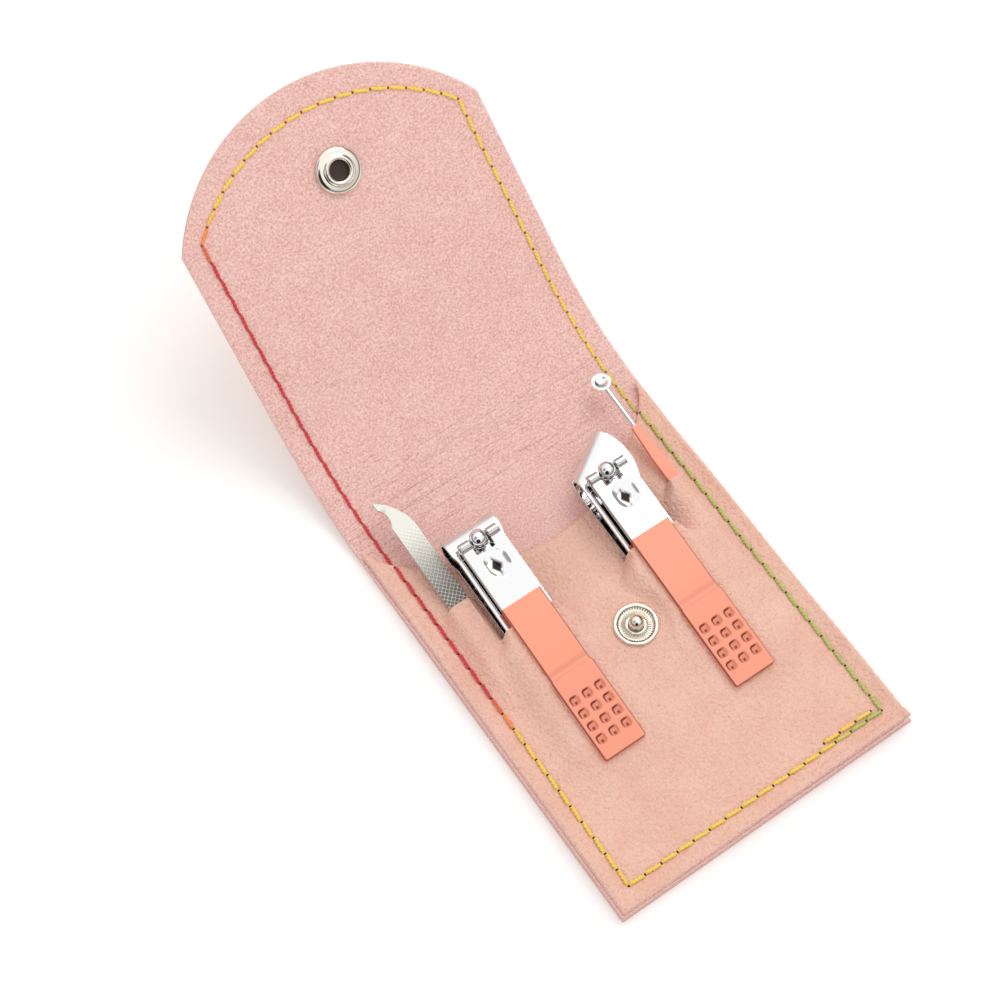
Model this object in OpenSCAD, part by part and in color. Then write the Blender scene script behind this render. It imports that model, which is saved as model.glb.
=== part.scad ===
// Folding leather manicure case, open, with two nail clippers, a nail file and an
// ear pick pushed into the slits of its pocket. Millimetres, Z up, resting on Z = 0.
// "v" is the distance from the bottom edge of the case along its length.

/* [Case] */
// Width of the case
case_w = 78; // [74:1:90]
// Length of the back panel that lies flat
back_len = 96; // [94:1:104]
// Length of the rounded fold, along its underside
fold_len = 42; // [36:1:50]
// Length of soft leather past the rounded fold
fold_flat = 12.6; // [10:0.2:14]
// Angle at which the open flap stands up
fold_angle = 39; // [20:1:45]
// Length of the straight sides of the flap above the fold
flap_side = 42; // [36:1:50]
// Radius of the flap's round end and of the pocket's scooped mouth
end_r = 46; // [45.2:0.2:60]
// Thickness of the outer leather
leather_t = 2; // [1.4:0.1:2.4]
// Thickness of the pocket leather
pocket_t = 1.6; // [1.2:0.1:1.8]
// Radius of the two bottom corners
corner_r = 1; // [0.5:0.1:3]

/* [Pocket] */
// Distance of the middle of the scooped mouth from the bottom edge
mouth_v = 79; // [76:0.5:82]
// Width of the flat sewn border
border_w = 6; // [6:0.5:8]
// Height that the leather lifts under the stud
lift = 2.8; // [1.5:0.1:3.2]
// Height that the leather lifts elsewhere between the tools
loose_lift = 2.2; // [1.2:0.1:2.3]
// Distance over which the leather settles before the end of a tool
settle = 8; // [6:0.5:10]
// Width of leather that drapes down beside a clipper, deep in the pocket
drape = 7; // [5:0.5:8]

/* [Stitching] */
// Distance of the seam from the edge
seam_in = 5; // [4:0.1:5.2]
// Distance from one stitch to the next
stitch_pitch = 4.2; // [3.6:0.1:6]
// Length of a stitch on the surface
stitch_len = 3.3; // [2:0.1:3.4]
// Thickness of the thread
thread_d = 0.9; // [0.5:0.1:1.2]

/* [Snap fastener] */
// Sideways offset of the snap fastener
snap_x = 1.2; // [-3:0.1:3]
// Distance of the stud from the bottom edge
stud_v = 50.6; // [46:0.1:54]
// Distance of the socket from the start of the flap's flat part
socket_s = 42; // [38:0.5:46]
// Radius of the stud's base
stud_r = 5.1; // [4.5:0.1:5.5]
// Height of the stud above the leather
stud_h = 3.7; // [3.2:0.1:3.8]
// Radius of the stud's knob
knob_r = 1.8; // [1.4:0.1:2]
// Radius of the socket ring
socket_r = 5.4; // [5:0.1:6]
// Height of the socket ring
socket_h = 1.8; // [1.4:0.1:2]
// Radius of the socket's hole
socket_hole_r = 2.3; // [2.2:0.1:2.6]
// Radius of the cap on the outside of the flap
cap_r = 5.6; // [5:0.1:6.5]
// Height of the cap
cap_h = 1.7; // [1.2:0.1:2.2]
// Radius of the tubes that pass through the leather
tube_r = 1.3; // [1:0.1:1.5]

/* [Clippers] */
// Distance from the tail to the cutting edge
clip_len = 60; // [56:1:64]
// Width of the body plates
clip_w = 12.4; // [11.6:0.1:13]
// Width of the straight jaws
jaw_w = 13.4; // [13:0.1:14.5]
// Thickness of the body plates
plate_t = 1; // [0.8:0.1:1.2]
// Height over both plates at the root of the jaws
body_h = 6.8; // [6.4:0.1:7]
// Distance of the tail rivet from the tail
rivet_y = 3.6; // [3.2:0.1:5]
// Distance of the pin from the cutting edge
pin_back = 5.3; // [5.2:0.1:6.5]
// Radius of the pin
pin_r = 1.2; // [1:0.05:1.3]
// Radius of the pin's round head
head_r = 2.2; // [1.8:0.1:2.3]
// Length of the curled lip of a jaw
curl_len = 3.6; // [3:0.1:3.7]
// Opening between the cutting edges
jaw_gap = 2; // [1.6:0.1:2.4]
// Angle of the slanted cutting edge
slant_angle = 33; // [28:1:36]

/* [Levers] */
// Length of the lever behind its crossbar
lever_len = 56.2; // [52:0.2:58]
// Width of the lever
lever_w = 10.2; // [9.6:0.1:11]
// Width of the lever's thumb pad
pad_w = 10.7; // [10.2:0.1:11.4]
// Length of the thumb pad
pad_len = 21.2; // [20:0.2:24]
// Thickness of the lever
lever_t = 1; // [0.8:0.1:1.2]
// Height of the step up to the thumb pad
pad_step = 0.35; // [0.2:0.05:0.5]
// Radius of the crossbar
bar_r = 0.75; // [0.6:0.05:0.8]
// Size of the square dimples
dimple = 2.2; // [1.6:0.1:2.4]
// Distance between dimples, along and across
dimple_pitch = 3.3; // [3:0.1:3.4]
// Depth of the dimples
dimple_depth = 0.45; // [0.2:0.05:0.6]

/* [Nail file] */
// Length of the file
file_len = 52; // [46:1:54]
// Width of the file
file_w = 5; // [4:0.1:5]
// Thickness of the file
file_t = 1; // [0.7:0.1:1]
// Length of the shaped point
point_len = 9; // [8:0.5:11]

/* [Ear pick] */
// Length of the ear pick
pick_len = 55; // [50:1:58]
// Width of the flat handle
pick_w = 2.7; // [2.2:0.1:3]
// Thickness of the flat handle
pick_t = 1.3; // [1:0.1:1.4]
// Radius of the stem behind the bowl
stem_r = 0.6; // [0.5:0.05:0.7]
// Radius of the bowl
bowl_r = 2.3; // [1.8:0.1:2.5]

/* [Places of the tools] */
// Straight clipper: distance of its middle from the left edge
straight_in = 21.8; // [21.6:0.1:24]
// Straight clipper: place of its tail
straight_v = 30.5; // [29:0.1:33]
// Slant clipper: distance of its middle from the right edge
slant_in = 23.2; // [22.4:0.1:25]
// Slant clipper: place of its tail
slant_v = 27.9; // [27:0.1:31]
// Place of the clippers' slits
clip_slit = 64.6; // [62:0.1:66]
// File: distance of its middle from the left edge
file_in = 11.3; // [11:0.1:11.7]
// File: place of its slit
file_slit = 76.7; // [75:0.1:78]
// File: place of its point
file_tip = 107; // [104:0.5:108]
// Ear pick: distance of its middle from the right edge
pick_in = 9.4; // [8.8:0.1:11]
// Ear pick: place of its slit
pick_slit = 74.2; // [72:0.1:76]
// Ear pick: place of its tip
pick_tip = 105.4; // [102:0.2:107]

/* [Fits] */
// How far the file and the ear pick can be pushed in further
push = 3; // [2:0.5:4]
// Gap between a tool and the leather that holds it
fit = 0.1; // [0.05:0.01:0.15]
// Running gap of pins in their holes
running = 0.06; // [0.04:0.01:0.1]
// Gap round the pin and the rivet in the moving upper plate
loose = 0.35; // [0.3:0.05:0.5]

/* [Hidden] */
$fn = 48;
eps = 0.01;
// A step too small to see, where two surfaces would otherwise only touch.
step = 0.02;
far = 60;

smooth_leather = [0.94, 0.75, 0.68];
suede = [0.92, 0.74, 0.71];
chrome = [0.86, 0.86, 0.88];
steel = [0.79, 0.79, 0.77];
coral = [1, 0.64, 0.52];
thread = [0.93, 0.78, 0.25];

// The fold is an arc of the underside radius fold_r whose centre stands over v = back_len.
fold_r = fold_len / (fold_angle * PI / 180);
flap_y = back_len + fold_r * sin(fold_angle);
flap_z = fold_r * (1 - cos(fold_angle));
half_w = case_w / 2;
straight_x = straight_in - half_w;
slant_x = half_w - slant_in;
file_x = file_in - half_w;
pick_x = half_w - pick_in;
end_rise = end_r - sqrt(end_r * end_r - half_w * half_w);
flap_len = flap_side + end_rise;
rest_len = flap_y + flap_len * cos(fold_angle);
border_z = leather_t + pocket_t;
side_top_v = mouth_v + end_rise;

// A clipper's underside climbs from the back panel to the top of the pocket leather.
function climb(tail_v) = asin(pocket_t / (clip_slit - tail_v));
tail_z = leather_t + fit;
// Distance over which the leather drops at a slit.
lip = 1.4;
plate_rise = body_h - 2 * plate_t;
jaw_root = clip_len - curl_len;
// The plates lie flat on each other up to here, where the upper one turns up.
bend_y = rivet_y + 0.3;
jaw_slope = atan(plate_rise / (jaw_root - bend_y));
curl_h = (body_h - jaw_gap) / 2;
curl_r = (curl_len * curl_len + curl_h * curl_h) / (2 * curl_h);
pin_y = clip_len - pin_back;
upper_z_at_pin = 2 * plate_t + (pin_y - bend_y) * tan(jaw_slope);
// The lever lies parallel to the upper plate, with the pocket leather between them.
leather_gap = pocket_t + 2 * fit;
bar_z = upper_z_at_pin + leather_gap / cos(jaw_slope) + lever_t / 2;
rivet_r = 1.3;
rivet_head_r = 1.7;
rivet_play = 0.15;
nose_r = 1.3;
slot_w = 2 * head_r + 0.5;
slot_back = 3.3;
head_up = 0.3;

// Slopes of the file and the ear pick, from the back panel over the pocket leather.
file_slope = 6.5;
pick_slope = 6;
file_z = tail_z + push * sin(file_slope);
file_v = file_tip - file_len * cos(file_slope);
pick_z = tail_z + push * sin(pick_slope);
pick_v = pick_tip - pick_len * cos(pick_slope);

module in_case() { translate([0, -rest_len / 2, 0]) children(); }
module on_flap() { translate([0, flap_y, flap_z]) rotate([fold_angle, 0, 0]) children(); }

// ---------- leather ----------

module back_panel() {
    color(smooth_leather) in_case() linear_extrude(leather_t) union() {
        translate([-half_w, corner_r]) square([case_w, back_len - corner_r]);
        translate([-half_w + corner_r, 0]) square([case_w - 2 * corner_r, 2 * corner_r]);
        for (s = [-1, 1]) translate([s * (half_w - corner_r), corner_r]) circle(corner_r);
    }
}

// Sector of a ring round the fold's axis, from the end of the back panel to the flap.
module fold_sector(r_in, r_out, from_x, width) {
    translate([from_x, back_len, fold_r]) rotate([0, 90, 0])
        rotate_extrude(angle = fold_angle, $fn = 180) translate([r_in, 0]) square([r_out - r_in, width]);
}

module fold() {
    color(suede) in_case() {
        fold_sector(fold_r - leather_t, fold_r, -half_w, case_w);
        on_flap() translate([-half_w, -1, step]) cube([case_w, fold_flat + 1, leather_t - 2 * step]);
    }
}

module flap_outline() {
    translate([-half_w, fold_flat]) square([case_w, flap_side - fold_flat]);
    intersection() {
        translate([-half_w, flap_side - eps]) square([case_w, end_rise + 1]);
        translate([0, flap_len - end_r]) circle(end_r, $fn = 180);
    }
}

module flap() {
    color(suede) in_case() on_flap() difference() {
        linear_extrude(leather_t) flap_outline();
        translate([snap_x, socket_s, -1]) cylinder(r = tube_r + running, h = leather_t + 2);
    }
}

// Height of the pocket leather's underside over the back panel. Each tool lifts it along
// its top. The leather drapes down beside the tool, more steeply towards the slit, and lies
// low past the slit; between the tools it stays a little lifted.
function ease(t) = let (k = max(0, min(1, t))) k * k * (3 - 2 * k);
function plateau(d, half, ramp) = ease((half + ramp - abs(d)) / ramp);
function inside(u) = ease((half_w - border_w - abs(u)) / 2.6);
function over(v, tail, slit, z0, slope) =
    (z0 + (max(tail, min(slit, v)) - tail) * tan(slope) - leather_t)
    * ease((v - tail + settle) / settle) * ease((slit + lip - v) / lip);
function clip_over(v, tail_v) = over(v, tail_v, clip_slit,
    tail_z + 2 * plate_t + fit - bend_y * (tan(climb(tail_v) + jaw_slope) - tan(climb(tail_v))),
    climb(tail_v) + jaw_slope);
function draped(d, half, wide, v, slit) =
    plateau(d, half, lip + (wide - lip) * ease((slit - v) / (2 * settle)));
function near_snap(u, v) = ease((9 - norm([u - snap_x, v - stud_v])) / 4);
function pocket_z(u, v) = let (k = near_snap(u, v)) k * lift + (1 - k) * loose_z(u, v);
function loose_z(u, v) = inside(u) * max(
    loose_lift * plateau(u, half_w - 15, 8) * ease((v - border_w) / (5 * settle))
        * ease((clip_slit + settle - v) / 18),
    clip_over(v, straight_v) * draped(u - straight_x, clip_w / 2 + 0.3, drape, v, clip_slit),
    clip_over(v, slant_v) * draped(u - slant_x, clip_w / 2 + 0.3, drape, v, clip_slit),
    over(v, file_v, file_slit, file_z + file_t + fit, file_slope)
        * draped(u - file_x, file_w / 2 + 0.3, drape / 2, v, file_slit),
    over(v, pick_v, pick_slit, pick_z + pick_t + fit, pick_slope)
        * draped(u - pick_x, pick_w / 2 + 0.3, drape / 2, v, pick_slit));

// Positions no more than a step apart that run through every stop.
function spread(stops, gap) = [for (k = [0:len(stops) - 2])
    let (way = stops[k + 1] - stops[k], n = max(1, ceil(way / gap)))
        for (i = [0:n - 1]) stops[k] + way * i / n, stops[len(stops) - 1]];

module pocket_sheet() {
    us = spread([-half_w, border_w - half_w, file_x - file_w / 2 - 0.3, file_x + file_w / 2 + 0.3,
        straight_x - clip_w / 2 - 0.3, straight_x + clip_w / 2 + 0.3, slant_x - clip_w / 2 - 0.3,
        slant_x + clip_w / 2 + 0.3, pick_x - pick_w / 2 - 0.3, half_w - border_w, half_w], 3.3);
    vs = spread([0, border_w, clip_slit, clip_slit + lip, pick_slit, file_slit, file_slit + lip,
        side_top_v], 5);
    columns = len(us) - 1;
    rows = len(vs) - 1;
    function u_at(i) = us[i];
    function v_at(j) = vs[j];
    n = columns + 1;
    m = rows + 1;
    points = [for (side = [0, 1], j = [0:rows], i = [0:columns])
        [u_at(i), v_at(j), leather_t + pocket_z(u_at(i), v_at(j)) + side * pocket_t]];
    lower = [for (j = [0:rows - 1], i = [0:columns - 1]) let (a = j * n + i)
        each [[a, a + 1, a + n + 1], [a, a + n + 1, a + n]]];
    upper = [for (f = lower) [for (k = [2, 1, 0]) f[k] + n * m]];
    rim = concat([for (i = [0:columns]) i], [for (j = [1:rows]) j * n + columns],
        [for (i = [1:columns]) rows * n + columns - i], [for (j = [1:rows - 1]) (rows - j) * n]);
    walls = [for (k = [0:len(rim) - 1]) let (a = rim[k], b = rim[(k + 1) % len(rim)])
        each [[b, a, a + n * m], [b, a + n * m, b + n * m]]];
    polyhedron(points, concat(lower, upper, walls));
}

// Space that a tool needs: under the leather up to its slit, and open above past it.
module tool_space(x, v, z, slope, top_slope, w, t, slit, back = 1) {
    translate([x - w / 2 - fit, 0, 0]) rotate([90, 0, 90]) linear_extrude(w + 2 * fit)
        polygon([[v - back, z - fit - (back - 1) * tan(slope)], [slit, z + (slit - v) * tan(slope) - fit],
            [slit + far, z + (slit + far - v) * tan(slope) - fit], [slit + far, far],
            [slit, far], [slit, z + t + fit + (slit - v) * tan(top_slope)],
            [v - back, z + t + fit - (back - 1) * tan(top_slope)]]);
}

module clipper_space(x, v) {
    tool_space(x, v, tail_z, climb(v), climb(v) + jaw_slope, clip_w, 2 * plate_t, clip_slit);
    translate([x, v, tail_z]) rotate([climb(v), 0, 0]) at_bar() {
        translate([-pad_w / 2 - fit, -lever_len - fit, -lever_t / 2 - fit])
            cube([pad_w + 2 * fit, lever_len, far]);
        translate([0, 0, -foot_top - foot_t - fit]) cylinder(r = head_r + fit, h = foot_top);
    }
}

module front_panel() {
    color(smooth_leather) in_case() difference() {
        pocket_sheet();
        translate([0, mouth_v + end_r, -1]) cylinder(r = end_r, h = far, $fn = 120);
        clipper_space(straight_x, straight_v);
        clipper_space(slant_x, slant_v);
        tool_space(file_x, file_v, file_z, file_slope, file_slope, file_w, file_t, file_slit,
            push + 1);
        tool_space(pick_x, pick_v, pick_z, pick_slope, pick_slope, pick_w, pick_t, pick_slit,
            push + 1);
        translate([0, 0, -1]) on_stud() cylinder(r = tube_r + running, h = far);
        on_stud() translate([0, 0, pocket_t - 0.02]) cylinder(r = stud_r + 0.2, h = far);
        on_stud() translate([0, 0, 0.02]) mirror([0, 0, 1]) cylinder(r = post_flange_r + 0.2, h = far);
        fold_sector(fold_r - leather_t - 0.02, fold_r + 1, -half_w - 1, case_w + 2);
    }
}

// ---------- stitching ----------

module stitch() {
    translate([-thread_d / 2, -stitch_len / 2, 0]) cube([thread_d, stitch_len, thread_d / 2]);
}

module seam(length) {
    n = floor(length / stitch_pitch);
    for (k = [0:n - 1]) translate([0, (k + 0.5) * length / n, 0]) children();
}

seam_x = half_w - seam_in;
seam_r = end_r - seam_in;
// The seam leaves the pocket leather where the scooped mouth crosses it.
seam_top_v = mouth_v + end_r - sqrt(end_r * end_r - seam_x * seam_x) - 0.6;

module pouch_stitching() {
    color(thread) in_case() translate([0, 0, border_z + 0.05]) {
        for (s = [-1, 1]) translate([s * seam_x, seam_in, 0]) seam(seam_top_v - seam_in) stitch();
        translate([seam_x, seam_in, 0]) rotate([0, 0, 90]) seam(2 * seam_x) stitch();
    }
}

module fold_stitching() {
    n = floor(fold_len / stitch_pitch);
    color(thread) in_case() for (s = [-1, 1]) {
        translate([0, back_len, fold_r]) for (k = [0:n - 1])
            if (back_len + k * fold_len / n > seam_top_v + 1) rotate([(k + 0.5) * fold_angle / n, 0, 0])
            translate([s * seam_x, 0, -fold_r + leather_t + 0.03]) stitch();
        on_flap() translate([s * seam_x, 0, leather_t]) seam(fold_flat) stitch();
    }
}

module flap_stitching() {
    centre = flap_len - end_r;
    turn = asin(seam_x / seam_r);
    side = centre + seam_r * cos(turn);
    n = floor(2 * turn * PI / 180 * seam_r / stitch_pitch);
    color(thread) in_case() on_flap() translate([0, 0, leather_t]) {
        for (s = [-1, 1]) translate([s * seam_x, fold_flat, 0]) seam(side - fold_flat) stitch();
        translate([0, centre, 0]) for (k = [0:n - 1])
            rotate([0, 0, turn * (1 - (2 * k + 1) / n)]) translate([0, seam_r, 0])
            rotate([0, 0, 90]) stitch();
    }
}

// ---------- snap fastener ----------

stud_z = leather_t + pocket_z(snap_x, stud_v);
base_h = 0.8;
post_flange_r = 3.6;
post_flange_t = 0.6;

module on_stud() { translate([snap_x, stud_v, stud_z]) children(); }
module on_pocket() { in_case() on_stud() children(); }

module snap_stud() {
    neck_r = knob_r - 0.35;
    color(chrome) on_pocket() for (k = [0:39]) rotate([0, 0, 9 * k])
        translate([neck_r + 1.1, -0.1, pocket_t + base_h - 0.4]) cube([1.3, 0.2, 0.25]);
    color(chrome) on_pocket() translate([0, 0, pocket_t]) rotate_extrude() difference() {
        union() {
            square([stud_r - 0.4, base_h - 0.3]);
            translate([stud_r - 0.8, 0]) square([0.4, base_h]);
            translate([stud_r - 0.4, base_h / 2]) circle(base_h / 2);
            square([neck_r + 0.9, base_h]);
            square([neck_r, stud_h - knob_r]);
            intersection() {
                translate([0, stud_h - knob_r]) circle(knob_r);
                square([knob_r, stud_h]);
            }
        }
        square([tube_r - 0.4 + running, stud_h - 1]);
        translate([-far, -far]) square([far, 2 * far]);
    }
}

module snap_post() {
    color(chrome) on_pocket() translate([0, 0, -post_flange_t]) {
        cylinder(r = post_flange_r, h = post_flange_t);
        cylinder(r = tube_r, h = post_flange_t + pocket_t - fit);
        cylinder(r = tube_r - 0.4, h = post_flange_t + pocket_t + stud_h - 1.3);
    }
}

module snap_socket() {
    color(chrome) in_case() on_flap() translate([snap_x, socket_s, leather_t])
        rotate_extrude() difference() {
            union() {
                translate([socket_hole_r, 0]) square([socket_r - socket_hole_r - 0.6, socket_h - 0.5]);
                translate([socket_hole_r + 0.5, socket_h - 0.5]) circle(0.5);
                translate([socket_r - 0.6, 0.6]) circle(0.6);
                translate([socket_hole_r + 0.5, 0]) square([1.4, socket_h]);
                translate([socket_hole_r + 1.9, 0]) square([0.8, socket_h - 0.3]);
                translate([socket_r - 0.7, 0]) square([0.6, 0.6]);
                translate([tube_r + running, 0]) square([socket_hole_r - tube_r, 0.3]);
            }
            translate([-far, -far]) square([2 * far, far]);
        }
}

module snap_cap() {
    dome_r = (cap_r * cap_r + cap_h * cap_h) / (2 * cap_h);
    color(chrome) in_case() on_flap() translate([snap_x, socket_s, 0]) {
        rotate([180, 0, 0]) difference() {
            translate([0, 0, cap_h - dome_r]) sphere(dome_r, $fn = 96);
            translate([-far, -far, -2 * far]) cube([2 * far, 2 * far, 2 * far]);
        }
        cylinder(r = tube_r, h = leather_t + 0.3);
    }
}

// ---------- clippers ----------
// Local frame: Y from the tail to the cutting edge, Z up from the underside.

module clipper(x, v) { in_case() translate([x, v, tail_z]) rotate([climb(v), 0, 0]) children(); }

edge_r = 34;
tail_r = 2.6;
jaw_bulge_r = 14;
bulge_x = -6.5;
bulge_y = 1.5;
slant_reach = 6.7;

// Outline of a plate, seen from above.
module plate_plan(slant) {
    translate([-clip_w / 2 + tail_r, 0]) square([clip_w - 2 * tail_r, tail_r + 1]);
    for (s = [-1, 1]) translate([s * (clip_w / 2 - tail_r), tail_r]) circle(tail_r);
    if (slant) {
        translate([-clip_w / 2, tail_r]) square([clip_w, jaw_root - tail_r - 3]);
        translate([0, pin_y]) intersection() {
            translate([bulge_x, bulge_y]) circle(jaw_bulge_r, $fn = 120);
            rotate([0, 0, slant_angle]) translate([-far, slant_reach - 2 * far])
                square([2 * far, 2 * far]);
            translate([-clip_w / 2, -5.4]) square([far, far]);
        }
    } else difference() {
        polygon([[-clip_w / 2, tail_r], [clip_w / 2, tail_r], [clip_w / 2, jaw_root - 3],
            [jaw_w / 2, jaw_root - 1], [jaw_w / 2, clip_len + 1], [-jaw_w / 2, clip_len + 1],
            [-jaw_w / 2, jaw_root - 1], [-clip_w / 2, jaw_root - 3]]);
        translate([0, clip_len + sqrt(edge_r * edge_r - jaw_w * jaw_w / 4)]) circle(edge_r, $fn = 180);
    }
}

// Section of a curled jaw: a quarter ring ground to a thin edge.
module curl_section() {
    difference() {
        intersection() {
            translate([0, curl_r]) circle(curl_r);
            translate([-eps, 0]) square([curl_len + eps, curl_h]);
        }
        translate([0, curl_r]) circle(curl_r - plate_t);
        translate([curl_len - 0.2, curl_h]) rotate(20) translate([-3, 0]) square([3, 1.5]);
    }
}

// Side view of the upper plate upside down, from its tail to beyond the jaw.
module bent_side() {
    t = plate_t;
    tail = [bend_y * (1 - cos(jaw_slope)), t - bend_y * sin(jaw_slope)];
    polygon([tail, [bend_y, t], [2 * far, t], [2 * far, 0], [bend_y + t * tan(jaw_slope / 2), 0],
        tail + t * [sin(jaw_slope), -cos(jaw_slope)]]);
}

// A plate whose front end curls up into a jaw.
module jaw_plate(slant, bent) {
    intersection() {
        translate([0, 0, -far]) linear_extrude(2 * far) plate_plan(slant);
        union() {
            difference() {
                if (bent) translate([-far, 0, 0]) rotate([90, 0, 90]) linear_extrude(2 * far) bent_side();
                else translate([-far, -far, 0]) cube([2 * far, 3 * far, plate_t]);
                at_curl(slant) translate([-2 * far, 0, -far]) cube([4 * far, 4 * far, 2 * far]);
            }
            at_curl(slant) translate([-far, 0, 0]) rotate([90, 0, 90]) linear_extrude(2 * far)
                curl_section();
        }
    }
}

module at_curl(slant) {
    translate([0, pin_y, 0]) rotate([0, 0, slant ? slant_angle : 0])
        translate([0, (slant ? slant_reach : pin_back) - curl_len, 0]) children();
}

// The pin stands square to the lever, so that the lever swings in its own plane.
module at_bar() { translate([0, pin_y, bar_z]) rotate([jaw_slope, 0, 0]) children(); }

module lower_plate(slant) {
    difference() {
        jaw_plate(slant, false);
        at_bar() translate([0, 0, -far]) cylinder(r = pin_r + running, h = 2 * far);
        translate([0, rivet_y, -1]) cylinder(r = rivet_r + running, h = plate_t + 2);
    }
}

module upper_plate(slant) {
    difference() {
        translate([0, bend_y, plate_t]) rotate([jaw_slope, 0, 0])
            translate([0, -bend_y + (1 - cos(jaw_slope)) * clip_len, plate_t])
            mirror([0, 0, 1]) jaw_plate(slant, true);
        at_bar() translate([0, 0, -far]) cylinder(r = pin_r + loose, h = 2 * far);
        translate([0, rivet_y, 0]) cylinder(r = rivet_r + loose, h = body_h);
    }
}

module rivet() {
    top = 2 * plate_t + rivet_play;
    translate([0, rivet_y, 0]) {
        difference() {
            cylinder(r = rivet_r, h = top);
            translate([0, 0, -1]) cylinder(r = 0.5, h = 1.6);
        }
        translate([0, 0, top]) cylinder(r = rivet_head_r, h = fit);
    }
}

foot_t = 0.5;
foot_top = bar_z / cos(jaw_slope) + head_r * tan(jaw_slope) + fit;

module pin() {
    at_bar() difference() {
        union() {
            translate([0, 0, -foot_top - foot_t]) cylinder(r = head_r, h = foot_t);
            translate([0, 0, -foot_top - eps]) cylinder(r = pin_r, h = foot_top + 0.6);
            translate([0, 0, head_up]) sphere(head_r, $fn = 64);
        }
        translate([-far / 2, 0, 0]) rotate([0, 90, 0]) cylinder(r = bar_r + running, h = far);
    }
}

pad_start = lever_len - pad_len;
pad_ramp = 1.2;
hollow_y = 6.8;
hollow_r = 7;
hollow_depth = 0.65;

module rounded_square(size, r) {
    square([size, size - 2 * r], center = true);
    square([size - 2 * r, size], center = true);
    for (x = [-1, 1], y = [-1, 1]) translate([x * (size / 2 - r), y * (size / 2 - r)]) circle(r);
}

// Side view of the lever, with Y to the tail and its crossbar at the origin.
module lever_side() {
    polygon([[0, -lever_t / 2], [lever_len, -lever_t / 2], [lever_len, lever_t / 2 + pad_step],
        [pad_start + pad_ramp, lever_t / 2 + pad_step], [pad_start, lever_t / 2], [0, lever_t / 2]]);
    circle(nose_r);
}

module lever() {
    at_bar() {
        difference() {
            intersection() {
                translate([-far / 2, 0, 0]) rotate([90, 0, 90]) linear_extrude(far)
                    mirror([1, 0]) lever_side();
                union() {
                    translate([-lever_w / 2, -pad_start - pad_ramp, -far]) cube([lever_w, far, 2 * far]);
                    translate([-pad_w / 2, -lever_len, -far]) cube([pad_w, pad_len - pad_ramp, 2 * far]);
                }
            }
            translate([-slot_w / 2, -slot_back, -far]) cube([slot_w, far, 2 * far]);
            for (y = [-1.3, 1.3]) translate([0, -hollow_y + y, lever_t / 2 + hollow_r - hollow_depth])
                sphere(hollow_r, $fn = 64);
            for (i = [-1:1], j = [0:3])
                translate([i * dimple_pitch, -lever_len + 4.6 + j * dimple_pitch,
                    lever_t / 2 + pad_step - dimple_depth])
                    linear_extrude(1) rounded_square(dimple, 0.5);
        }
        translate([-slot_w / 2 - eps, 0, 0]) rotate([0, 90, 0]) cylinder(r = bar_r, h = slot_w + 2 * eps);
    }
}

module straight_lower_plate() { color(chrome) clipper(straight_x, straight_v) lower_plate(false); }
module straight_upper_plate() { color(chrome) clipper(straight_x, straight_v) upper_plate(false); }
module straight_rivet() { color(steel) clipper(straight_x, straight_v) rivet(); }
module straight_pin() { color(chrome) clipper(straight_x, straight_v) pin(); }
module straight_lever() { color(coral) clipper(straight_x, straight_v) lever(); }
module slant_lower_plate() { color(chrome) clipper(slant_x, slant_v) lower_plate(true); }
module slant_upper_plate() { color(chrome) clipper(slant_x, slant_v) upper_plate(true); }
module slant_rivet() { color(steel) clipper(slant_x, slant_v) rivet(); }
module slant_pin() { color(chrome) clipper(slant_x, slant_v) pin(); }
module slant_lever() { color(coral) clipper(slant_x, slant_v) lever(); }

// ---------- nail file and ear pick ----------

module nail_file() {
    half = file_w / 2;
    p = file_len - point_len;
    color(steel) in_case() translate([file_x, file_v, file_z]) rotate([file_slope, 0, 0])
        linear_extrude(file_t) difference() {
            union() {
                translate([-half, 1]) square([file_w, p - 1]);
                translate([-half + 1, 0]) square([file_w - 2, 1.5]);
                for (s = [-1, 1]) translate([s * (half - 1), 1]) circle(1);
                polygon([[-half, p - eps], [half, p - eps], [half - 0.5, p + 2.6], [half - 1.7, p + 4.9],
                    [-0.6, p + 7], [-half + 0.2, p + 8.5], [-half - 0.6, file_len]]);
            }
            translate([-half - 3.4, p + 4.2]) circle(4.1);
        }
}

module on_pick() {
    in_case() translate([pick_x, pick_v, pick_z]) rotate([pick_slope, 0, 0]) children();
}

neck = 12.5;
grip_len = pick_len - neck - 3;

module ear_pick_grip() {
    grip = 9;
    color(coral) on_pick() linear_extrude(pick_t) {
        translate([-pick_w / 2, 1.2]) square([pick_w, grip_len - grip - 1.2]);
        translate([0, 1.3]) circle(pick_w / 2);
        polygon([[-pick_w / 2, grip_len - grip - eps], [pick_w / 2, grip_len - grip - eps],
            [stem_r + 0.2, grip_len], [-stem_r - 0.2, grip_len]]);
    }
}

module ear_pick_spoon() {
    mid = pick_t / 2;
    bowl_y = pick_len - bowl_r;
    shell_r = 3.3;
    wall = 0.45;
    sink = sqrt(shell_r * shell_r - bowl_r * bowl_r);
    color(steel) on_pick() {
        translate([0, grip_len, mid]) rotate([-90, 0, 0]) cylinder(r = stem_r, h = bowl_y - 2.1 - grip_len);
        translate([0, bowl_y, mid + 0.1]) rotate([-12, 0, 0]) difference() {
            translate([0, 0, sink]) sphere(shell_r, $fn = 64);
            translate([0, 0, sink]) sphere(shell_r - wall, $fn = 64);
            translate([-far / 2, -far / 2, 0]) cube(far);
        }
    }
}

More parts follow.
